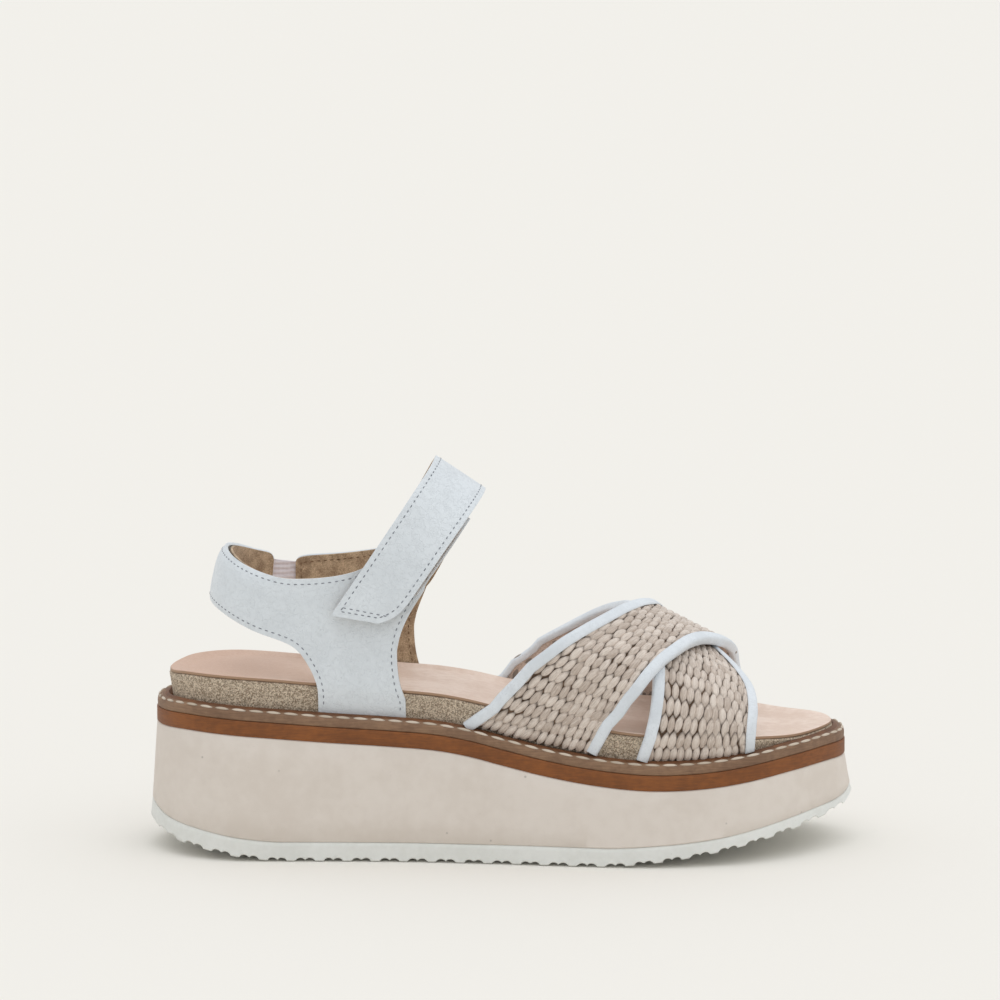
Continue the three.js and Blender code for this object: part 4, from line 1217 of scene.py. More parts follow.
def settle(piece: Piece, finish: Finish, slot: str, body: Body | None, *nodes: str) -> Piece:
    """Dresses a piece, puts it on its body, and hides the CAD nodes that it stands for.

    Args:
        piece: the piece, with its final mesh.
        finish: its finish.
        slot: the record's material slot; not used.
        body: the body that it moves with, or None to leave it on no body.
        nodes: the CAD nodes that it replaces.

    Returns:
        The piece.
    """
    wear(piece, finish)
    if body is not None:
        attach(piece, body.value)
    if nodes:
        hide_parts(*nodes)
    LOG.info("%s: %d faces", piece.name, len(piece.data.polygons))
    return piece


# ------------------------------------------------------------------ the sole


@dataclass
class Sole:
    """The outsole, the foam wedge, the runner, the cork and the sock."""

    last: Last
    columns: int = 220
    tread_columns: int = 620
    outsole_out: float = 7.6
    wedge_out_low: float = 6.9
    wedge_out_high: float = 4.9
    lug_pitch: float = 10.5
    groove_width: float = 7.0
    groove_depth: float = 1.2
    soften: float = 0.5
    seat: float = 0.05

    def build(self) -> None:
        """Makes and dresses every layer."""
        self.make_outsole()
        self.make_wedge()
        self.make_runner()
        self.make_cork()
        self.make_sock()

    def layer(self, name: str, low: Field, high: Field, out: tuple[float, float], columns: int,
              top: Callable[[Array, Array], Array] | None = None, across: int = 6,
              corner: float | None = None) -> Piece:
        """A closed layer whose section turns softly at its edges.

        Args:
            name: the piece's name.
            low: height of its bottom face over X.
            high: height of its top edge over X.
            out: how far the bottom and top edges stand past the footbed.
            columns: cells along it.
            top: height of its top face over X and the distance from the middle, or None if level.
            across: cells across its faces.
            corner: how much its edges are softened, or None for the sole's own.

        Returns:
            The piece.
        """
        soft = self.soften if corner is None else corner
        edge = [(0.0, 0.0), (0.3, 0.3), (1.0, 1.0)]
        wall: list[tuple[float, float, float]] = []
        for inset, rise in edge:
            wall.append((-soft * (1 - inset), soft * rise, 0.0))
        for share in (0.25, 0.5, 0.75):
            wall.append((0.0, 0.0, share))
        for inset, rise in reversed(edge):
            wall.append((-soft * (1 - inset), -soft * rise, 1.0))
        turn = np.linspace(math.pi, 0, columns + 1)
        loop: list[Array] = []
        level = np.linspace(1, -1, across + 1)
        for t in level[1:-1]:
            x = np.cos(turn) * (self.last.length / 2 + out[0] - soft)
            loop.append(
                stack(x, self.last.centre(x) + t * self.last.half(x, out[0] - soft), low(x))
            )
        for side in (-1, 1):
            for margin, lift, share in wall if side < 0 else reversed(wall):
                grow = lerp(out[0], out[1], share) + margin
                x = np.cos(turn) * (self.last.length / 2 + grow)
                z = lerp(low(x), high(x), share) + lift
                loop.append(stack(x, self.last.centre(x) + side * self.last.half(x, grow), z))
            if side < 0:
                for t in -level[1:-1]:
                    grow = out[1] - soft
                    x = np.cos(turn) * (self.last.length / 2 + grow)
                    radius = np.hypot(np.cos(turn), t * np.sin(turn))
                    z = high(x) if top is None else top(x, radius)
                    loop.append(stack(x, self.last.centre(x) + t * self.last.half(x, grow), z))
        piece = moulded(name, np.array([*loop, loop[0]]))
        close_up(piece)
        smooth(piece, MOULDED_EDGE)
        return piece

    def lugs(self, x: Array) -> Array:
        """Depth of the tread's grooves over X: two small arches in each gap between lugs."""
        pitch = self.lug_pitch
        reach = self.last.length / 2 + self.outsole_out
        count = math.floor((2 * reach - pitch) / pitch)
        phase = (x + count / 2 * pitch) / pitch
        off = (phase - np.round(phase)) * pitch
        half = self.groove_width / 2
        arch = self.groove_depth * np.sqrt(
            np.clip(1 - ((np.abs(off) - half / 2) / (half / 2)) ** 2, 0, 1)
        )
        bridge = 0.35 * self.groove_depth * (np.abs(off) < half)
        inside = (np.round(phase) >= 0) & (np.round(phase) <= count)
        return np.maximum(arch, bridge) * inside

    def make_outsole(self) -> None:
        """White rubber with scalloped lugs."""
        last = self.last
        piece = self.layer(
            "outsole_lugged", lambda x: last.ground(x) + self.lugs(x),
            lambda x: last.ground(x) + last.outsole(x), (self.outsole_out, self.wedge_out_low),
            self.tread_columns, across=8,
        )
        settle(piece, OUTSOLE_RUBBER, "outsole_rubber", Body.SOLE, "outsole")

    def make_wedge(self) -> None:
        """Cream foam wedge."""
        last = self.last
        piece = self.layer(
            "foam_wedge", lambda x: last.ground(x) + last.outsole(x) + self.seat, last.wedge_top,
            (self.wedge_out_low, self.wedge_out_high), self.columns,
        )
        settle(piece, WEDGE_FOAM, "wedge_foam", Body.SOLE, "midsole_wedge")

    def make_runner(self) -> None:
        """Tan runner."""
        last = self.last
        piece = self.layer(
            "tan_runner", lambda x: last.wedge_top(x) + self.seat, last.runner_top,
            (self.wedge_out_high, self.wedge_out_high), self.columns, corner=0.35,
        )
        settle(piece, RUNNER_FOAM, "runner_foam", Body.SOLE, "midsole_runner")

    def footbed(self, x: Array, radius: Array) -> Array:
        """Height of the cork's dished top, at a share of the way out from its middle."""
        ripple = 0.5 * np.exp(-(((x - self.last.along(0.86)) / 7) ** 2)) * (1 - radius**2)
        return self.last.cork_top(x) - self.last.cup(x) * (1 - radius**4) + ripple

    def make_cork(self) -> None:
        """Cork footbed with a granular edge."""
        last = self.last
        piece = self.layer(
            "cork_base", lambda x: last.cork_base(x) + self.seat, last.cork_top,
            (-last.cork_lean, 0.0),
            self.columns, top=self.footbed, across=14, corner=0.6,
        )
        self.roughen(piece)
        settle(piece, CORK, "cork", Body.SOLE, "cork_footbed")

    def roughen(self, piece: Piece) -> None:
        """Gives a piece the small dents of broken granules."""
        texture = bpy.data.textures.new("granules", "CLOUDS")
        texture.noise_scale = 1.4 * MM
        modify(
            piece, "DISPLACE", texture=texture, strength=0.5 * MM, mid_level=0.5,
            texture_coords="LOCAL"
        )
        smooth(piece, SOFT_EDGE)

    def make_sock(self) -> None:
        """Leather sock, dished, with a burnished edge."""
        last = self.last
        seat = last.gap / 2
        piece = self.layer(
            "footbed_sock", lambda x: last.cork_top(x) + seat, last.rim, (-0.25, -0.35),
            self.columns,
            top=lambda x, radius: self.footbed(x, radius) + last.gap + last.sock, across=20,
            corner=0.35,
        )
        points = points_of(piece) / MM
        outer = np.abs(points[:, 1] - last.centre(points[:, 0]))
        rim = last.half(np.clip(points[:, 0], -last.length / 2 + 0.8, last.length / 2 - 0.8), -0.8)
        low = points[:, 2] < last.rim(points[:, 0]) - 0.15
        tag(piece, "edge", ((outer > rim) & low).astype(float))
        settle(piece, SOCK, "sock_leather", Body.SOLE, "leather_sock")


@dataclass
class WeltWork:
    """The welt, the rand inside it and the stitches along the welt's shoulder."""

    last: Last
    columns: int = 520
    welt_out: float = 4.6
    welt_height: float = 3.8
    stitch_pitch: float = 6.5
    stitch: tuple[float, float, float] = (5.7, 1.05, 0.9)
    stitch_inset: float = 0.75
    stitch_sink: float = 0.12
    stitch_slant: float = 0.07
    stitch_lean: float = 0.75

    def build(self) -> None:
        """Makes and dresses the rings and their stitches."""
        self.make_welt()
        self.make_rand()
        self.make_stitches()

    def ring(self, name: str, section: Sequence[tuple[float, float]]) -> Piece:
        """A closed ring round the footbed.

        Args:
            name: the piece's name.
            section: (margin, height above the runner) points round its section.

        Returns:
            The piece.
        """
        turn = np.linspace(0, 2 * math.pi, self.columns + 1)
        loop = []
        for grow, height in [*section, section[0]]:
            x, y = self.last.outline(turn, grow)
            loop.append(stack(x, y, self.last.cork_base(x) + height))
        piece = moulded(name, np.array(loop))
        close_up(piece)
        smooth(piece, SOFT_EDGE)
        return piece

    def make_welt(self) -> None:
        """Taupe welt with a rounded shoulder."""
        out, top = self.welt_out, self.welt_height
        section = [
            (out - 0.35, -0.2), (out - 0.05, 0.1), (out, 0.6), (out + 0.05, 1.4), (out, 2.2),
            (out - 0.12, 2.8),
            (out - 0.4, 3.3), (out - 0.8, 3.62), (out - 1.3, top), (1.6, top + 0.1), (1.6, -0.2),
        ]
        piece = self.ring("welt_strip", section)
        settle(piece, WELT_BOARD, "welt_leatherboard", Body.SOLE, "welt")

    def make_rand(self) -> None:
        """Brown rand that rises to the cork in two fine ridges."""
        section = [
            (2.7, 3.2), (2.75, 3.7), (2.4, 3.92), (2.1, 3.82), (1.85, 3.92), (1.7, 4.1),
            (1.4, 4.25), (1.15, 4.2),
            (1.0, 4.3), (0.8, 4.5), (0.4, 4.55), (0.2, 4.3), (-1.0, 3.2),
        ]
        piece = self.ring("rand_strip", section)
        settle(piece, RAND_LEATHER, "rand_leather", Body.SOLE, "welt_rand")

    def make_stitches(self) -> None:
        """Pale lens-shaped stitches, one after another round the shoulder."""
        turn = np.linspace(0, 2 * math.pi, 2400)
        x, y = self.last.outline(turn, self.welt_out - self.stitch_inset)
        path = stack(x, y, self.last.cork_base(x) + self.welt_height - self.stitch_sink)
        at, ahead = spaced(path, self.stitch_pitch)
        out = unit(np.cross(ahead, np.array([0.0, 0.0, 1.0])))
        up = unit(np.array([0, 0, 1.0]) + self.stitch_lean * out)
        slant = unit(ahead + self.stitch_slant * out)
        model = bead(10, 10)
        points = points_of(model)
        pinch = np.sqrt(np.maximum(1 - points[:, :1] ** 2, 0)) ** 0.25
        points = points * np.concatenate([np.ones_like(pinch), pinch, pinch], axis=1)
        points[:, 2] -= 0.35 * points[:, 0] ** 2
        place(model, points)
        size = np.tile(np.array(self.stitch), (len(at), 1))
        piece = repeat("welt_stitches", model, Copies(at, slant, up, size), seed=3)
        smooth(piece, BEAD_EDGE)
        settle(piece, PALE_THREAD, "thread", Body.SOLE, "welt_stitching")


# ------------------------------------------------------------------ leather straps


@dataclass
class Border:
    """The edge of an open sheet, in order, in millimetres."""

    point: Array
    inward: Array
    normal: Array

    CORNER = 0.93

    def inset(self, distance: float) -> Array:
        """The edge moved into the sheet."""
        return self.point + self.inward * distance

    def clear(self, distance: float) -> Array:
        """Where the moved edge doesn't cross itself in a corner."""
        moved = self.inset(distance)
        gaps = np.array([np.linalg.norm(self.point - point, axis=1).min() for point in moved])
        return gaps > self.CORNER * distance

    def rows(self, distance: float, lift: float, keep: Array | bool = True) -> list[Array]:
        """Paths for stitches along the edge.

        Args:
            distance: how far inside the edge.
            lift: how far over the sheet.
            keep: which of the edge's places are sewn.

        Returns:
            The paths.
        """
        moved = self.inset(distance) + self.normal * lift
        return [moved[run] for run in runs_of(self.clear(distance) & keep)]


def border_of(piece: Piece) -> Border:
    """Walks round the edge of an open sheet.

    Args:
        piece: the sheet, before it has a thickness.

    Returns:
        Its border.
    """
    mesh = piece.data
    uses: dict[tuple[int, int], list[int]] = {}
    for face in mesh.polygons:
        for key in face.edge_keys:
            uses.setdefault(key, []).append(face.index)
    rim = {key: faces[0] for key, faces in uses.items() if len(faces) == 1}
    linked: dict[int, list[int]] = {}
    for a, b in rim:
        linked.setdefault(a, []).append(b)
        linked.setdefault(b, []).append(a)
    start = min(linked)
    order, current, before = [start], linked[start][0], start
    while current != start:
        order.append(current)
        ahead = [v for v in linked[current] if v != before]
        before, current = current, ahead[0]
    points = points_of(piece)[order] / MM
    normals = np.array([mesh.vertices[v].normal[:] for v in order])
    tangent = unit(np.roll(points, -1, axis=0) - np.roll(points, 1, axis=0))
    inward = unit(np.cross(normals, tangent))
    a, b = order[0], order[1]
    centre = np.array(mesh.polygons[rim[(min(a, b), max(a, b))]].center[:]) / MM
    if np.dot(inward[0], centre - points[0]) < 0:
        inward = -inward
    return Border(points, inward, normals)


def runs_of(keep: Array) -> list[Array]:
    """Splits a closed loop into its kept runs.

    Args:
        keep: for each place in the loop, whether it is kept.

    Returns:
        The indices of each run, in order.
    """
    count = len(keep)
    if keep.all():
        return [np.arange(count + 1) % count]
    start = int(np.argmin(keep))
    runs: list[Array] = []
    current: list[int] = []
    for step in range(1, count + 1):
        index = (start + step) % count
        if keep[index]:
            current.append(index)
        elif current:
            runs.append(np.array(current))
            current = []
    return [run for run in runs if len(run) > 3]


@dataclass
class Seam:
    """Rows of stitches sunk into a piece."""

    name: str
    thread: Finish = GREY_THREAD
    pitch: float = 2.55
    length: float = 1.3
    width: float = 0.45
    seed: int = 5

    def sew(self, piece: Piece, paths: Sequence[Array]) -> Piece:
        """Lays stitches on a piece along paths.

        Args:
            piece: the piece that they are sewn into, with its thickness.
            paths: points in order, near the piece's outer face.

        Returns:
            The stitches, not yet riding on a body.
        """
        at, ahead, up = [], [], []
        for path in paths:
            spots, along = spaced(path, self.pitch)
            for spot, direction in zip(spots, along):
                found, near, normal, _ = piece.closest_point_on_mesh(Vector(spot * MM))
                if found:
                    at.append(np.array(near) / MM)
                    ahead.append(direction)
                    up.append(np.array(normal))
        size = np.tile([self.length, self.width, self.width * 0.8], (len(at), 1))
        copies = Copies(np.array(at), np.array(ahead), np.array(up), size)
        stitches = repeat(self.name, bead(6, 6), copies, self.seed)
        smooth(stitches, BEAD_EDGE)
        wear(stitches, self.thread)
        return stitches


@dataclass(frozen=True)
class Hide:
    """How a leather or suede layer lies over the foot's side of the upper."""

    seat: float
    thickness: float
    finish: Finish
    slot: str


@dataclass
class BackStrap:
    """The outer quarter and the heel strap, cut in one, with their lining, padding and elastic."""

    last: Last
    leather: Hide = Hide(0.95, 1.4, WHITE_LEATHER, "white_leather")
    suede: Hide = Hide(0.0, 0.85, TAN_SUEDE, "tan_suede")
    root: tuple[float, float] = (0.229, 0.358)
    inner_shift: float = 5.0
    inner_rear: float = 0.184
    leather_roots: tuple[float, ...] = (1.2, 1.0, 0.5, 0.25)
    suede_root: tuple[float, ...] = (0.25,)
    strap_end: float = 65.0
    elastic_start: float = 55.0
    elastic: float = 0.8
    foam: float = 3.0
    shares: tuple[float, ...] = (0.0, 0.12, 0.35, 0.7, 0.88, 1.0)
    columns: int = 8
    welt_clear: float = 6.0
    stitch_inset: float = 2.0

    SIDE_SEAM = ((-0.068, -0.033, 0.092), (-0.084, -0.033, 0.092))
    GORE = ((-0.0795, 0.03, 0.095), (-0.0893, 0.026, 0.095))

    def build(self) -> None:
        """Makes and dresses the quarters, the heel strap, its padding and its elastic."""
        self.make_outer_leather()
        self.make_outer_lining()
        self.make_inner_leather()
        self.make_inner_lining()
        self.make_padding()
        self.make_elastic()

    def row(self, side: int, rear: tuple[float, float], front: tuple[float, float]) -> Frames:
        """One row of a quarter on the arch, between two (X, height) places."""
        u = np.linspace(0, 1, self.columns)
        return self.last.on_arch_at(lerp(rear[0], front[0], u), lerp(rear[1], front[1], u), side)

    def root_rows(self, side: int, shift: float, depths: Sequence[float]) -> tuple[
        list[Frames], list[float]
    ]:
        """The rows below the rim and the first rows above it.

        Args:
            side: sign of Y.
            shift: how far forward the root is.
            depths: depths below the rim.

        Returns:
            The rows and how far each is tucked in.
        """
        last = self.last
        rear, front = float(last.along(self.root[0])) + shift, float(
            last.along(self.root[1])
        ) + shift
        u = np.linspace(0, 1, self.columns)
        rows = [last.on_root(lerp(rear, front, u), depth, side) for depth in depths]
        low, high = float(last.rim(rear)), float(last.rim(front))
        rows.append(self.row(side, (rear - 0.4, low), (front - 1.6, high)))
        rows.append(
            self.row(side, (rear - 2.9, low + self.last.notch / 2), (front - 3, high + 7.6))
        )
        return rows, [min(depth, 1.0) for depth in depths] + [0.0, 0.0]

    def fronts(self, shift: float, top_lead: float) -> list[tuple[float, float]]:
        """The front edge's places at the heel strap's shares of height."""
        front = float(self.last.along(self.root[1])) + shift
        base = float(self.last.rim(front))
        edge = Curve([(0, -3.2), (0.35, -2.0), (0.7, 0.5), (1.0, top_lead)])
        rise = Curve([(0, 14.6), (0.35, 21), (0.7, 27), (1.0, 33.5)])
        return [(front + float(edge(s)), base + float(rise(s))) for s in self.shares]

    def seam_heights(self) -> list[float]:
        """Heights of the side seam's places."""
        low, high = self.last.seam_bottom(), self.last.seam_top()
        return [low + (high - low) * share for share in self.shares]

    def outer_rows(self, depths: Sequence[float]) -> tuple[list[Frames], list[float]]:
        """Rows of the outer quarter and of the tab that runs up under the flap."""
        last = self.last
        rows, tucks = self.root_rows(-1, 0.0, depths)
        for height, front in zip(self.seam_heights(), self.fronts(0.0, 4.5)):
            rows.append(self.row(-1, (last.seam_x, height), front))
        top = last.seam_top()
        front, base = float(last.along(self.root[1])), float(last.rim(last.along(self.root[1])))
        rows.append(self.row(-1, (last.seam_x + 13, top + 0.5), (front + 7.6, base + 38)))
        strap = AnkleStrap(last)
        for share in (0.3, 0.45, 0.6, 0.75, 0.86, 0.88):
            rows.append(self.row(-1, strap.edge(-1, 0, share, 2.5), strap.edge(-1, 1, share, 1.2)))
        return rows, tucks + [0.0] * (len(rows) - len(tucks))

    def inner_rows(self, depths: Sequence[float]) -> tuple[list[Frames], list[float]]:
        """Rows of the inner quarter, which ends under the ankle strap."""
        last = self.last
        rows, tucks = self.root_rows(1, self.inner_shift, depths)
        rear = float(last.along(self.inner_rear))
        for height, front in zip(self.seam_heights(), self.fronts(self.inner_shift, 3.0)):
            rows.append(self.row(1, (rear, height), front))
        front = float(last.along(self.root[1])) + self.inner_shift
        base = float(last.rim(front))
        rows.append(self.row(1, (rear + 16, last.seam_top() + 0.5), (front + 5, base + 38)))
        strap = AnkleStrap(last)
        rows.append(self.row(1, strap.edge(1, 0, 0.3, 3), strap.edge(1, 1, 0.3, -2)))
        return rows, tucks + [0.0] * (len(rows) - len(tucks))

    def pad(self, angle: Array) -> Array:
        """How much the padding lifts the heel strap's leather at an angle from the back."""
        rising = smoothstep(angle, -86, -56)
        falling = 1 - smoothstep(angle, self.strap_end - 34, self.strap_end - 8)
        over_elastic = (self.elastic + 0.3) * smoothstep(
            angle, self.strap_end - 30, self.strap_end - 14
        )
        return np.maximum(self.foam * np.minimum(rising, falling), over_elastic)

    def heel_places(self, hide: Hide, end: float, lift: float) -> Array:
        """Rows × columns of places on the heel strap, from its side seam to its free end.

        Args:
            hide: the layer.
            end: angle of its free end.
            lift: share of the padding's swell that this layer takes.

        Returns:
            The places.
        """
        angles = np.concatenate([np.linspace(-90, end - 6, 22), [end - 3.5, end - 1.2, end]])
        inset = np.concatenate([np.zeros(22), [0.15, 0.8, 2.6]])
        low = self.last.heel_bottom_edge(angles) + self.notch_ease(angles) + inset
        high = self.last.heel_top_edge(angles) - inset
        places = []
        for share in self.shares:
            z = lerp(low, high, share)
            edge = 0.3 if share > 0.5 else 0.72
            crown = float(np.clip(4.6 * min(share, 1 - share), 0, 1)) ** 0.6
            swell = self.pad(angles) * lerp(edge, 1.0, crown) * lift
            places.append(self.last.on_heel(angles, z).out(hide.seat + swell))
        return np.array(places)

    def notch_ease(self, angle: Array) -> Array:
        """Lifts the lower edge near the side seam, so that it sweeps into the quarter."""
        t = np.clip((angle + 90) / 26, 0, 1)
        return 4.2 * t * (1 - t) ** 2

    def cut(self, name: str, rows: list[Frames], tucks: list[float], hide: Hide, side: int,
            room: Callable[[Array], Array] | None = None) -> Piece:
        """The cage of a quarter's layer.

        Args:
            name: the piece's name.
            rows: its rows.
            tucks: how far each row is tucked in towards the cork, 0 to 1.
            hide: the layer.
            side: sign of Y.
            room: how far the layer stands off at points, or None.

        Returns:
            The piece.
        """
        places = []
        for frames, tuck in zip(rows, tucks):
            spare = 0.0 if room is None or tuck > 0 else room(frames.point[..., 0])
            places.append(frames.out(hide.seat * (1 - tuck) + spare))
        return sheet(name, np.array(places), np.array([0.0, side, 0.0]))

    def finish_layer(self, piece: Piece, hide: Hide) -> Border:
        """Smooths a cage, notes its border and gives it its thickness."""
        subdivide(piece)
        border = border_of(piece)
        thicken(piece, hide.thickness)
        round_edges(piece)
        smooth(piece, MOULDED_EDGE)
        return border

    def with_heel(
        self, name: str, depths: Sequence[float], hide: Hide, end: float, lift: float
    ) -> Piece:
        """The outer quarter and the heel strap joined at the side seam."""
        rows, tucks = self.outer_rows(depths)
        quarter = self.cut(name, rows, tucks, hide, -1)
        heel = sheet(name + "_heel", self.heel_places(hide, end, lift), np.array([-1.0, 0.0, 0.0]))
        whole = join([quarter, heel], name)
        edit(whole, lambda: bpy.ops.mesh.remove_doubles(threshold=0.02 * MM))
        return whole

    def hang(self, piece: Piece) -> None:
        """Bakes a piece's placement into its mesh."""
        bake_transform(piece)

    def above_welt(self, border: Border, spare: float) -> Array:
        """Which of a border's places are clear of the welt."""
        x, z = border.point[:, 0], border.point[:, 2]
        return z > self.last.cork_base(x) + self.welt_clear + spare

    def make_outer_leather(self) -> None:
        """White leather of the outer quarter, its tab and the heel strap."""
        piece = self.with_heel(
            "back_strap_leather", self.leather_roots, self.leather, self.strap_end, 1.0
        )
        border = self.finish_layer(piece, self.leather)
        rows = border.rows(self.stitch_inset, self.leather.thickness, self.above_welt(border, 0.6))
        seam = Seam("back_strap_seam").sew(piece, rows)
        settle(
            piece, self.leather.finish, self.leather.slot, None, "lateral_quarter_outer",
            "heel_strap_outer"
        )
        self.hang(piece)
        self.hang(seam)

    def make_outer_lining(self) -> None:
        """Suede lining of the same pieces."""
        piece = self.with_heel(
            "back_strap_suede", self.suede_root, self.suede, self.strap_end - 0.6, 0.0
        )
        self.finish_layer(piece, self.suede)
        settle(
            piece, self.suede.finish, self.suede.slot, None, "lateral_quarter_lining",
            "heel_strap_lining"
        )
        self.hang(piece)

    def elastic_room(self, x: Array) -> Array:
        """How far the inner quarter's leather stands off over the elastic."""
        seat = float(self.last.along(0.235))
        return (self.elastic + 0.3) * (1 - smoothstep(x, seat - 3, seat + 5))

    def make_inner_leather(self) -> None:
        """White leather of the inner quarter."""
        rows, tucks = self.inner_rows(self.leather_roots)
        piece = self.cut("inner_quarter_leather", rows, tucks, self.leather, 1, self.elastic_room)
        border = self.finish_layer(piece, self.leather)
        paths = border.rows(self.stitch_inset, self.leather.thickness, self.above_welt(border, 0.6))
        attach(Seam("inner_quarter_seam", seed=6).sew(piece, paths), Body.SOLE.value)
        settle(piece, self.leather.finish, self.leather.slot, Body.SOLE, "medial_quarter_outer")

    def make_inner_lining(self) -> None:
        """Suede lining of the inner quarter, sewn along its edges."""
        rows, tucks = self.inner_rows(self.suede_root)
        piece = self.cut("inner_quarter_suede", rows, tucks, self.suede, 1)
        border = self.finish_layer(piece, self.suede)
        paths = border.rows(2.2, 0.0, self.above_welt(border, 2.0))
        seam = Seam("inner_lining_seam", TAN_THREAD, seed=7).sew(piece, paths)
        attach(seam, Body.SOLE.value)
        settle(piece, self.suede.finish, self.suede.slot, Body.SOLE, "medial_quarter_lining")

    def make_padding(self) -> None:
        """Soft foam between the heel strap's leather and lining, thick in its middle."""
        angles = np.linspace(-78, self.elastic_start - 5, 30)
        low = self.last.heel_bottom_edge(angles) + 1.8
        high = self.last.heel_top_edge(angles) - 1.8
        places = []
        for turn in np.linspace(0, 2 * math.pi, 17):
            share = 0.5 - 0.5 * math.cos(turn)
            depth = max(math.sin(turn), 0.0)
            thickness = np.maximum(self.pad(angles) - 0.35, 0.15) * depth**0.7
            frames = self.last.on_heel(angles, lerp(low, high, share))
            places.append(frames.out(self.suede.thickness + 0.1 + thickness))
        piece = moulded("heel_padding", np.array(places))
        edit(
            piece,
            lambda: bpy.ops.mesh.remove_doubles(threshold=1e-6),
            bpy.ops.mesh.select_non_manifold,
            bpy.ops.mesh.edge_face_add,
            lambda: bpy.ops.mesh.select_all(action="SELECT"),
            lambda: bpy.ops.mesh.normals_make_consistent(inside=False),
        )
        smooth(piece, SOFT_EDGE)
        settle(piece, STRAP_FOAM, "strap_foam", Body.HEEL, "heel_strap_foam")

    def make_elastic(self) -> None:
        """Ribbed elastic from inside the heel strap's end to inside the inner quarter."""
        last, inset = self.last, 2.4
        angles = np.linspace(self.elastic_start, 76, 16)
        rear, end = float(last.along(self.inner_rear)) - 0.6, float(last.along(0.225))
        xs = np.linspace(rear, end, 9)
        places = []
        for share in np.linspace(0, 1, 73):
            bend = lerp(
                last.heel_bottom_edge(angles) + inset, last.heel_top_edge(angles) - inset, share
            )
            flat = float(
                lerp(last.heel_bottom_edge(90) + inset, last.heel_top_edge(90) - inset, share)
            )
            seat = 1.1 + 0.03 * math.cos(2 * math.pi * share * 9)
            bent = last.on_heel(angles, bend).out(seat)
            laid = last.on_arch_at(xs, flat, 1).out(seat)
            places.append(np.concatenate([bent, laid]))
        piece = sheet("elastic_web", np.array(places), np.array([0.0, 1.0, 0.0]))
        thicken(piece, self.elastic)
        smooth(piece, SOFT_EDGE)
        settle(piece, ELASTIC, "elastic", None, "elastic_gore")
        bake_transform(piece)


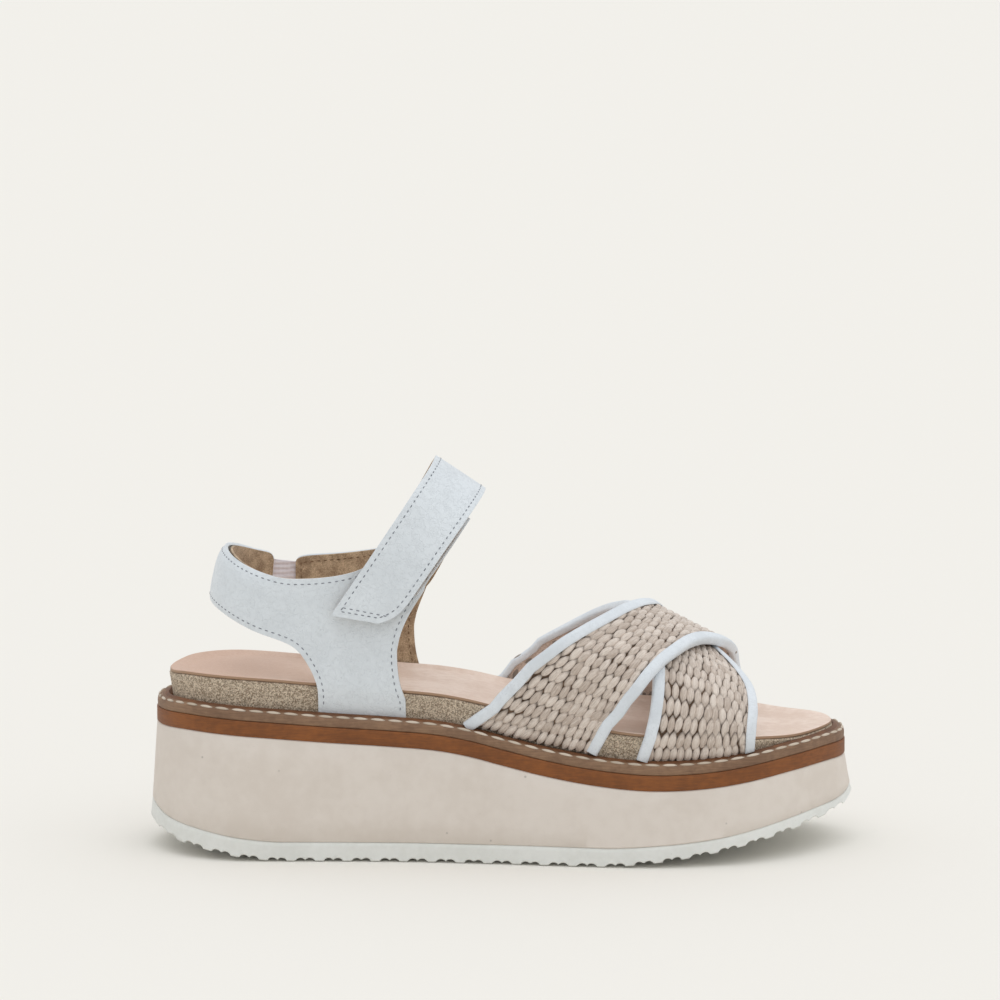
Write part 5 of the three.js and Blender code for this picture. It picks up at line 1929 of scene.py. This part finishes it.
@dataclass
class AnkleStrap:
    """The strap over the instep: sewn on the inner side, free on the outer side as a flap."""

    last: Last
    rear_end: tuple[float, float] = (0.256, 29.5)
    rear_ridge: tuple[float, float] = (0.385, 78.6)
    front_end: tuple[float, float] = (0.347, 26.8)
    front_ridge: tuple[float, float] = (0.458, 68.9)
    inner_shift: float = 9.0
    sewn_seat: float = 2.7
    flap_seat: float = 5.3
    lining: float = 0.85
    leather: float = 1.4
    columns: int = 7
    stitch_inset: float = 2.1
    row_gap: float = 2.2
    run: float = 62.0

    CROWN = ((-0.0153, 0.011, 0.142), (-0.0153, -0.011, 0.142))

    def build(self) -> None:
        """Makes and dresses the strap, its seams and its fastener."""
        self.make_leather()
        self.make_lining()
        self.make_loops()
        self.make_hooks()

    def edge(self, side: int, front: int, share: float, inset: float) -> tuple[float, float]:
        """A place on one edge: 0 at the strap's end, 1 at the ridge.

        Args:
            side: sign of Y.
            front: 0 for the rear edge, 1 for the front edge.
            share: how far along the edge.
            inset: moved forward by this much.

        Returns:
            X and the height above the ground.
        """
        end, ridge = (self.front_end, self.front_ridge) if front else (
            self.rear_end, self.rear_ridge
        )
        end_x, ridge_x = float(self.last.along(end[0])), float(self.last.along(ridge[0]))
        end_z = float(self.last.rim(end_x)) + end[1]
        ridge_z = float(self.last.rim(ridge_x)) + ridge[1]
        shift = self.inner_shift * (1 - min(max(share, 0), 1)) ** 0.75 if side > 0 else 0.0
        x = end_x + shift + (ridge_x - end_x) * share + inset
        return x, end_z + (ridge_z - end_z) * share

    def across(self, side: int, share: float, low: float, high: float, count: int) -> Frames:
        """One row of the strap between two shares of its width."""
        rear, front = self.edge(side, 0, share, 0), self.edge(side, 1, share, 0)
        u = np.linspace(low, high, count)
        return self.last.on_arch_at(lerp(rear[0], front[0], u), lerp(rear[1], front[1], u), side)

    def half(self) -> list[tuple[float, float, float]]:
        """Rows of one half, from its end to just before the ridge, as (share, low, high)."""
        ends = [
            (-0.055, 0.03, 0.74), (-0.05, 0.01, 0.79), (-0.02, 0.0, 0.87), (0.03, 0.0, 0.95),
            (0.09, 0.0, 0.99)
        ]
        start = 1 - math.sqrt(1 - 0.18)
        shares = [1 - (1 - (start + (1 - start) * i / 11)) ** 2 for i in range(11)]
        return ends + [(share, 0.0, 1.0) for share in shares]

    def places(self, extra: float) -> Array:
        """Rows × columns of places over the whole strap, from the flap's end to the sewn end.

        Args:
            extra: how far the layer lies over the strap's seat.

        Returns:
            The places.
        """
        flap, sewn = [], []
        rows = self.half()
        for index, (share, low, high) in enumerate(rows):
            crown = index / len(rows)
            seat = self.flap_seat
            flap.append(self.across(-1, share, low, high, self.columns).out(seat + extra))
            seat = self.sewn_seat + (self.flap_seat - self.sewn_seat) * float(
                smoothstep(crown, 0.3, 0.95)
            )
            sewn.append(self.across(1, share, low, high, self.columns).out(seat + extra))
        ridge = self.across(1, 1.0, 0.0, 1.0, self.columns)
        ridge.point[..., 1] = 0
        ridge.normal[..., 1] = 0
        top = Frames(ridge.point, unit(ridge.normal)).out(self.flap_seat + extra)
        return np.array([*flap, top, *reversed(sewn)])

    def hang(self, piece: Piece) -> None:
        """Bakes a piece's placement into its mesh."""
        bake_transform(piece)

    def make_leather(self) -> None:
        """White leather of the strap, sewn along its edges and twice across the flap's end."""
        piece = sheet(
            "ankle_strap_leather", self.places(self.lining + 0.1), np.array([0.0, 0.0, 1.0])
        )
        subdivide(piece)
        border = border_of(piece)
        thicken(piece, self.leather)
        round_edges(piece)
        smooth(piece, MOULDED_EDGE)
        paths = [*border.rows(self.stitch_inset, self.leather), self.second_row()]
        seam = Seam("ankle_strap_seam", pitch=2.45).sew(piece, paths)
        settle(piece, WHITE_LEATHER, "white_leather", None, "ankle_strap_outer", "ankle_flap_outer")
        self.hang(piece)
        self.hang(seam)

    def second_row(self) -> Array:
        """The second row of stitches across the flap's end."""
        frames = self.across(-1, -0.02 + self.row_gap / self.run, 0.07, 0.84, 12)
        return frames.out(self.flap_seat + self.lining + self.leather)

    def make_lining(self) -> None:
        """Suede lining of the strap."""
        piece = sheet("ankle_strap_suede", self.places(0.0), np.array([0.0, 0.0, 1.0]))
        subdivide(piece)
        thicken(piece, self.lining)
        smooth(piece, MOULDED_EDGE)
        settle(piece, TAN_SUEDE, "tan_suede", None, "ankle_strap_lining", "ankle_flap_lining")
        self.hang(piece)

    def pad(
        self, name: str, seat: float, low: float, high: float, reach: tuple[float, float]
    ) -> Piece:
        """A fastener's backing between two shares of the strap's run."""
        rows = [
            self.across(
                -1, share, reach[0], reach[1], 12
            ).out(seat) for share in np.linspace(low, high, 22)
        ]
        piece = sheet(name, np.array(rows), np.array([0.0, -1.0, 0.2]))
        thicken(piece, 0.6)
        round_edges(piece, 0.2)
        smooth(piece, MOULDED_EDGE)
        return piece

    def pile(self, name: str, seat: float, low: float, high: float, reach: tuple[float, float],
             size: tuple[float, float, float], lean: float, seed: int) -> Piece:
        """Rows of small loops or hooks that stand on a fastener's backing."""
        rng = np.random.default_rng(seed)
        rows, columns = 26, 13
        at, ahead, up = [], [], []
        for share in np.linspace(low + 0.012, high - 0.012, rows):
            frames = self.across(-1, share, reach[0] + 0.03, reach[1] - 0.03, columns)
            jitter = rng.uniform(-0.35, 0.35, (columns, 3))
            at.append(frames.out(seat) + jitter * np.array([1, 0, 1]))
            run = unit(np.gradient(frames.point, axis=0))
            tilt = rng.uniform(-0.5, 0.5, (columns, 3)) * 0.5
            ahead.append(unit(frames.normal + run * lean + tilt))
            up.append(run)
        count = rows * columns
        sizes = np.tile(size, (count, 1)) * rng.uniform(0.8, 1.2, (count, 1))
        copies = Copies(np.concatenate(at), np.concatenate(ahead), np.concatenate(up), sizes)
        piece = repeat(name, bead(5, 5), copies, seed)
        smooth(piece, BEAD_EDGE)
        return piece

    def make_loops(self) -> None:
        """Loop side of the fastener, on the quarter's tab."""
        backing = self.pad("loop_backing", self.sewn_seat - 0.1, 0.22, 0.8, (0.14, 1.03))
        pile = self.pile(
            "loop_pile", self.sewn_seat + 0.75, 0.22, 0.8, (0.14, 1.03), (0.9, 0.5, 0.5), 0.5, 11
        )
        settle(backing, FASTENER, "hook_and_loop", Body.SOLE, "loop_pad")
        settle(pile, FASTENER, "hook_and_loop", Body.SOLE)

    def make_hooks(self) -> None:
        """Hook side of the fastener, on the flap's lining."""
        backing = self.pad("hook_backing", self.flap_seat - 0.6, 0.08, 0.62, (0.14, 0.9))
        pile = self.pile(
            "hook_pile", self.flap_seat - 0.8, 0.08, 0.62, (0.14, 0.9), (0.7, 0.28, 0.28), 0.2, 12
        )
        settle(backing, FASTENER, "hook_and_loop", Body.FLAP, "hook_pad")
        settle(pile, FASTENER, "hook_and_loop", Body.FLAP)


# ------------------------------------------------------------------ raffia straps


@dataclass
class RaffiaStrap:
    """A raffia strap across the toes, from root to root, with bound edges.

    A place along the strap is given by w: -90 to 90 is the angle from the ridge, and past that
    the strap goes down between the cork and the rand, ROOT_SPAN of w for each millimetre.
    """

    last: Last
    name: str
    rear: Curve
    front: Curve
    rear_foot: tuple[float, float]
    front_foot: tuple[float, float]
    crossing: float
    seed: int
    leaf: tuple[float, float, float] = (8.3, 3.3, 2.7)
    band_pitch: float = 5.4
    spacing: float = 2.96
    leaf_seat: float = 2.1
    lining_seat: float = 0.9
    ground_seat: float = 1.6
    edge_inset: float = 0.02

    ROOT_SPAN = 10.0
    FOOT = 78.0
    DRIFT, SWAY, YAW, ROLL = 0.4, 0.3, 0.1, 0.2
    RISE, PITCH = (-0.1, 0.12), (0.03, 0.14)
    SMALLEST, LARGEST = (0.92, 0.9, 0.85), (1.08, 1.06, 1.15)
    POINTED, DROOP = 0.85, 0.2

    def build(self) -> None:
        """Makes and dresses the strap's layers."""
        self.make_lining()
        self.make_ground()
        self.make_leaves()
        self.make_binding("rear")
        self.make_binding("front")

    def angle(self, w: float) -> float:
        """The arch's angle at w: eased near the rim, so that height rises evenly there."""
        near = 90 - self.FOOT
        turn = min(abs(w), 90)
        if turn > self.FOOT:
            turn = 90 - near * ((90 - turn) / near) ** 1.6
        return math.copysign(turn, w)

    def lift(self, w: Array) -> Array:
        """How far the strap rises to cross over the other."""
        return self.crossing * (1 - smoothstep(np.abs(w), 64, 88))

    def edges(self, w: float) -> tuple[float, float]:
        """X of the rear and the front edge at w."""
        foot = 0 if w < 0 else 1
        turn = float(np.clip(w, -90, 90))
        drop = min(max(abs(w) - 90, 0) / self.ROOT_SPAN, 1)
        rear = lerp(float(self.rear(turn)), self.rear_foot[foot], drop)
        front = lerp(float(self.front(turn)), self.front_foot[foot], drop)
        return float(self.last.along(rear)), float(self.last.along(front))

    def at(self, w: float, share: Array, height: Array) -> Array:
        """Places over the strap.

        Args:
            w: where along the strap.
            share: across it, 0 at the rear edge and 1 at the front.
            height: distance from the foot's side.

        Returns:
            The places.
        """
        rear, front = self.edges(w)
        x = lerp(rear, front, np.asarray(share, float))
        drop = max(abs(w) - 90, 0) / self.ROOT_SPAN
        if drop > 0:
            frames = self.last.on_root(x, np.full_like(x, drop), -1 if w < 0 else 1)
        else:
            frames = self.last.on_angle(x, np.full_like(x, self.angle(w)))
        return frames.out(np.asarray(height, float) + float(self.lift(w)) - 1.0 * min(drop, 1))

    def rows(self, reach: float, step: float) -> Array:
        """Values of w from root to root, closer near the rim."""
        drop = 90 + self.ROOT_SPAN * reach
        roots = [90 + self.ROOT_SPAN * d for d in (0.3, 0.6, 1.0) if d < reach] + [drop]
        inner = np.arange(-87, 87.01, step)
        return np.concatenate([-np.array(roots[::-1]), [-90], inner, [90], roots])

    def layer(self, name: str, seat: float, thickness: float, reach: float) -> Piece:
        """A flat layer of the strap.

        Args:
            name: the piece's name.
            seat: how far its inner face is from the foot.
            thickness: its thickness.
            reach: how deep it goes at the roots.

        Returns:
            The piece.
        """
        share = np.linspace(self.edge_inset, 1 - self.edge_inset, 25)
        seats = np.full(25, seat)
        places = np.array([self.at(float(w), share, seats) for w in self.rows(reach, 3.0)])
        piece = sheet(name, places, np.array([0.0, 0.0, 1.0]))
        thicken(piece, thickness)
        smooth(piece, MOULDED_EDGE)
        return piece

    def make_lining(self) -> None:
        """Soft lining that touches the foot."""
        piece = self.layer(f"{self.name}_strap_lining_cloth", self.lining_seat, 0.55, 0.5)
        settle(piece, VAMP_SUEDE, "vamp_lining", Body.SOLE, f"{self.name}_strap_lining")

    def make_ground(self) -> None:
        """Dark open weave that shows between the raffia's leaves."""
        piece = self.layer(f"{self.name}_strap_weave", self.ground_seat, 0.5, 0.9)
        settle(piece, RAFFIA_GROUND, "raffia", Body.SOLE, f"{self.name}_strap_panel")

    def spine(self) -> tuple[Array, Array]:
        """w and the distance along the strap's middle, from one root to the other."""
        w = np.linspace(-99.0, 99.0, 400)
        middle = np.array(
            [self.at(float(value), np.array([0.5]), np.array([2.0]))[0] for value in w]
        )
        steps = np.linalg.norm(np.diff(middle, axis=0), axis=1)
        return w, np.concatenate([[0.0], np.cumsum(steps)])

    def make_leaves(self) -> None:
        """Pointed raffia floats in bands, each band offset by half a spacing."""
        rng = np.random.default_rng(self.seed)
        w, run = self.spine()
        bands = int(run[-1] // self.band_pitch)
        heights = np.array([self.leaf_seat, self.leaf_seat + 1])
        at, ahead, up, size = [], [], [], []
        for band in range(bands + 1):
            middle = (run[-1] - bands * self.band_pitch) / 2 + band * self.band_pitch
            offset = 0.5 * (band % 2)
            spot = float(np.interp(middle, run, w))
            rear, front = self.at(spot, np.array([0.0, 1.0]), np.array([2.0, 2.0]))
            width = float(np.linalg.norm(front - rear))
            count = int(width / 2 / self.spacing + 1)
            for index in range(-count, count + 1):
                share = 0.5 + (index + offset) * self.spacing / width
                if abs(share - 0.5) > 0.5 - 0.6 / width:
                    continue
                centre = float(np.interp(middle + rng.uniform(-self.DRIFT, self.DRIFT), run, w))
                share += rng.uniform(-self.SWAY, self.SWAY) / width
                near, far = (
                    self.at(
                        centre + step, np.array([share, share]), heights
                    ) for step in (-1.2, 1.2)
                )
                direction = unit(far[0] - near[0])
                normal = unit((near[1] - near[0]) + (far[1] - far[0]))
                side = np.cross(normal, direction)
                at.append((near[0] + far[0]) / 2 + normal * rng.uniform(*self.RISE))
                turned = direction + side * rng.uniform(-self.YAW, self.YAW)
                ahead.append(unit(turned + normal * rng.uniform(*self.PITCH)))
                up.append(normal + side * rng.uniform(-self.ROLL, self.ROLL))
                size.append(np.array(self.leaf) * rng.uniform(self.SMALLEST, self.LARGEST))
        model = bead(10, 12)
        points = points_of(model)
        slim = np.sqrt(np.maximum(1 - points[:, :1] ** 2, 0)) ** self.POINTED
        points[:, 1:] *= slim
        # painted shade: each leaf darkens towards its ends and on its lower side
        shade = np.maximum(np.abs(points[:, 0]), 1.05 - points[:, 2])
        points[:, 2] -= self.DROOP * points[:, 0] ** 2
        place(model, points)
        copies = Copies(np.array(at), np.array(ahead), np.array(up), np.array(size))
        piece = repeat(f"{self.name}_strap_raffia", model, copies, self.seed, shade)
        smooth(piece, BEAD_EDGE)
        settle(piece, RAFFIA, "raffia", Body.SOLE)

    def make_binding(self, edge: str) -> None:
        """Glossy white leather folded over one edge.

        Args:
            edge: "rear" or "front".
        """
        outer = [
            (3.4, 3.5), (3.25, 3.85), (2.5, 4.05), (1.3, 4.15), (0.3, 4.12), (-0.4, 3.9),
            (-0.8, 3.45),
            (-0.95, 2.8), (-0.98, 2.0), (-0.95, 1.2), (-0.75, 0.55), (-0.2, 0.15), (0.5, 0.08),
            (1.1, 0.1),
            (1.5, 0.25), (1.6, 0.5),
        ]
        inner = [
            (1.45, 0.75), (0.8, 0.75), (0.1, 0.78), (-0.2, 1.1), (-0.25, 2.1), (-0.2, 3.0),
            (0.1, 3.3), (1.8, 3.32), (3.2, 3.35),
        ]
        contour = np.array([*outer, *inner, outer[0]])
        rear = edge == "rear"
        rows = []
        for w in self.rows(0.95, 2.5):
            first, second = self.edges(float(w))
            x, other = (first, second) if rear else (second, first)
            # a rigid frame on the edge: the section lies square to the surface
            share = 0.0 if rear else 1.0
            lift = self.at(float(w), np.array([share, share]), np.array([0.0, 1.0]))
            up = unit(lift[1] - lift[0])
            inner_share = abs(share - 3.0 / max(abs(other - x), 6.0))
            inside, before, after = (
                self.at(float(w) + step, np.array([spot]), np.array([0.0]))[0]
                for step, spot in ((0, inner_share), (-0.6, share), (0.6, share))
            )
            along = unit(after - before)
            inward = np.cross(up, along)
            if np.dot(inward, inside - lift[0]) < 0:
                inward = -inward
            inward = unit(inward)
            up = unit(up - inward * np.dot(up, inward))
            rows.append(lift[0] + contour[:, :1] * inward + contour[:, 1:] * up)
        piece = moulded(f"{self.name}_strap_{edge}_edging", np.array(rows))
        close_up(piece)
        smooth(piece, SOFT_EDGE)
        settle(
            piece, BINDING_LEATHER, "white_leather", Body.SOLE, f"{self.name}_strap_{edge}_binding"
        )


def raffia_straps(last: Last) -> list[RaffiaStrap]:
    """The two straps that cross over the toes."""
    over = RaffiaStrap(
        last, "over",
        rear=Curve([
            (-90, 0.486), (-86, 0.502), (-80, 0.53), (-72, 0.558), (-62, 0.587), (-53, 0.612),
            (-42, 0.639), (-27, 0.667), (-10, 0.692), (0, 0.704), (45, 0.727), (90, 0.712),
        ]),
        front=Curve([
            (-90, 0.656), (-80, 0.68), (-72, 0.697), (-63, 0.712), (-53, 0.729), (-42, 0.749),
            (-30, 0.768), (-20, 0.784), (0, 0.815), (30, 0.84), (57, 0.852), (90, 0.866),
        ]),
        rear_foot=(0.443, 0.7), front_foot=(0.635, 0.872), crossing=4.4, seed=21,
    )
    under = RaffiaStrap(
        last, "under",
        rear=Curve([
            (-90, 0.713), (-78, 0.72), (-62, 0.723), (-30, 0.718), (-10, 0.705), (10, 0.692),
            (34, 0.669), (64, 0.607), (80, 0.55), (90, 0.502),
        ]),
        front=Curve([
            (-90, 0.864), (-81, 0.865), (-61, 0.868), (-34, 0.863), (-17, 0.847), (0, 0.822),
            (20, 0.786), (40, 0.748), (60, 0.715), (78, 0.687), (90, 0.672),
        ]),
        rear_foot=(0.7, 0.452), front_foot=(0.868, 0.66), crossing=0.0, seed=34,
    )
    return [over, under]


# ------------------------------------------------------------------ the studio


@dataclass
class Studio:
    """The pale floor, the lights and the camera."""

    floor_drop: float = 0.0002
    floor_reach: float = 2000.0
    lens: float = 142.56
    distance: float = 1.4875
    height: float = 0.3243
    tilt: float = 82.6
    sun: float = 0.9
    sun_size: float = 75.0
    sun_turn: tuple[float, float] = (12.0, 8.0)
    sky: tuple[float, float] = (0.6, 0.8)
    light: Colour = (0.985, 0.995, 1.0)

    def build(self) -> None:
        """Makes the stage."""
        for thing in list(bpy.data.objects):
            if thing.name in ("Cube", "Light", "Camera"):
                bpy.data.objects.remove(thing)
        self.make_floor()
        self.make_world()
        self.make_sun()
        self.make_camera()
        scene = bpy.context.scene
        scene.view_settings.view_transform = "Standard"
        scene.view_settings.look = "None"

    def make_floor(self) -> None:
        """A level floor that reaches to the horizon."""
        bpy.ops.mesh.primitive_plane_add(
            size=self.floor_reach, location=(0, 0, CAD_BOX[0].z - self.floor_drop)
        )
        floor = bpy.context.object
        floor.name = "studio_floor"
        wear(floor, FLOOR)

    def make_world(self) -> None:
        """Soft light from all round, dimmer in front than at the sides and behind."""
        world = bpy.data.worlds.new("studio_light")
        world.use_nodes = True
        world.node_tree.nodes.clear()
        graph = Graph(world.node_tree)
        direction = graph.add("ShaderNodeTexCoord").outputs["Generated"]
        parts = graph.add("ShaderNodeSeparateXYZ", {"Vector": direction})
        share = graph.ramp(parts.outputs["Y"], -0.9, 0.1)
        dim, bright = self.sky
        strength = graph.plus(graph.times(share, bright - dim), dim)
        light = graph.add(
            "ShaderNodeBackground", {"Color": (*self.light, 1.0), "Strength": strength}
        )
        end = graph.add("ShaderNodeOutputWorld")
        graph.feed(end.inputs["Surface"], light.outputs["Background"])
        bpy.context.scene.world = world

    def make_sun(self) -> None:
        """A very large overhead light, far enough away to light the floor evenly."""
        turn = (*(math.radians(angle) for angle in self.sun_turn), 0)
        bpy.ops.object.light_add(type="SUN", location=(0, 0, 2), rotation=turn)
        light = bpy.context.object
        light.name = "overhead_light"
        light.data.energy = self.sun
        light.data.angle = math.radians(self.sun_size)
        light.data.color = self.light

    def make_camera(self) -> None:
        """The camera, level with the sandal's outer side and a little above it."""
        place_at = (-0.00075, -self.distance, self.height)
        bpy.ops.object.camera_add(location=place_at, rotation=(math.radians(self.tilt), 0.0, 0.0))
        camera = bpy.context.object
        camera.name = "studio_camera"
        camera.data.lens = self.lens
        camera.data.sensor_width = 36.0
        camera.data.clip_end = self.floor_reach
        bpy.context.scene.camera = camera


# ------------------------------------------------------------------ the scene


def main() -> None:
    """Builds the sandal and its studio."""
    logging.basicConfig(level=logging.INFO, format="%(name)s: %(message)s")
    low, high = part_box("cork_footbed")
    last = Last((float(high[0]) - float(low[0])) / MM)
    Studio().build()
    for assembly in (
        Sole(last), WeltWork(last), BackStrap(last), AnkleStrap(last), *raffia_straps(last)
    ):
        LOG.info("building %s", type(assembly).__name__)
        assembly.build()


if __name__ == "__main__":
    main()
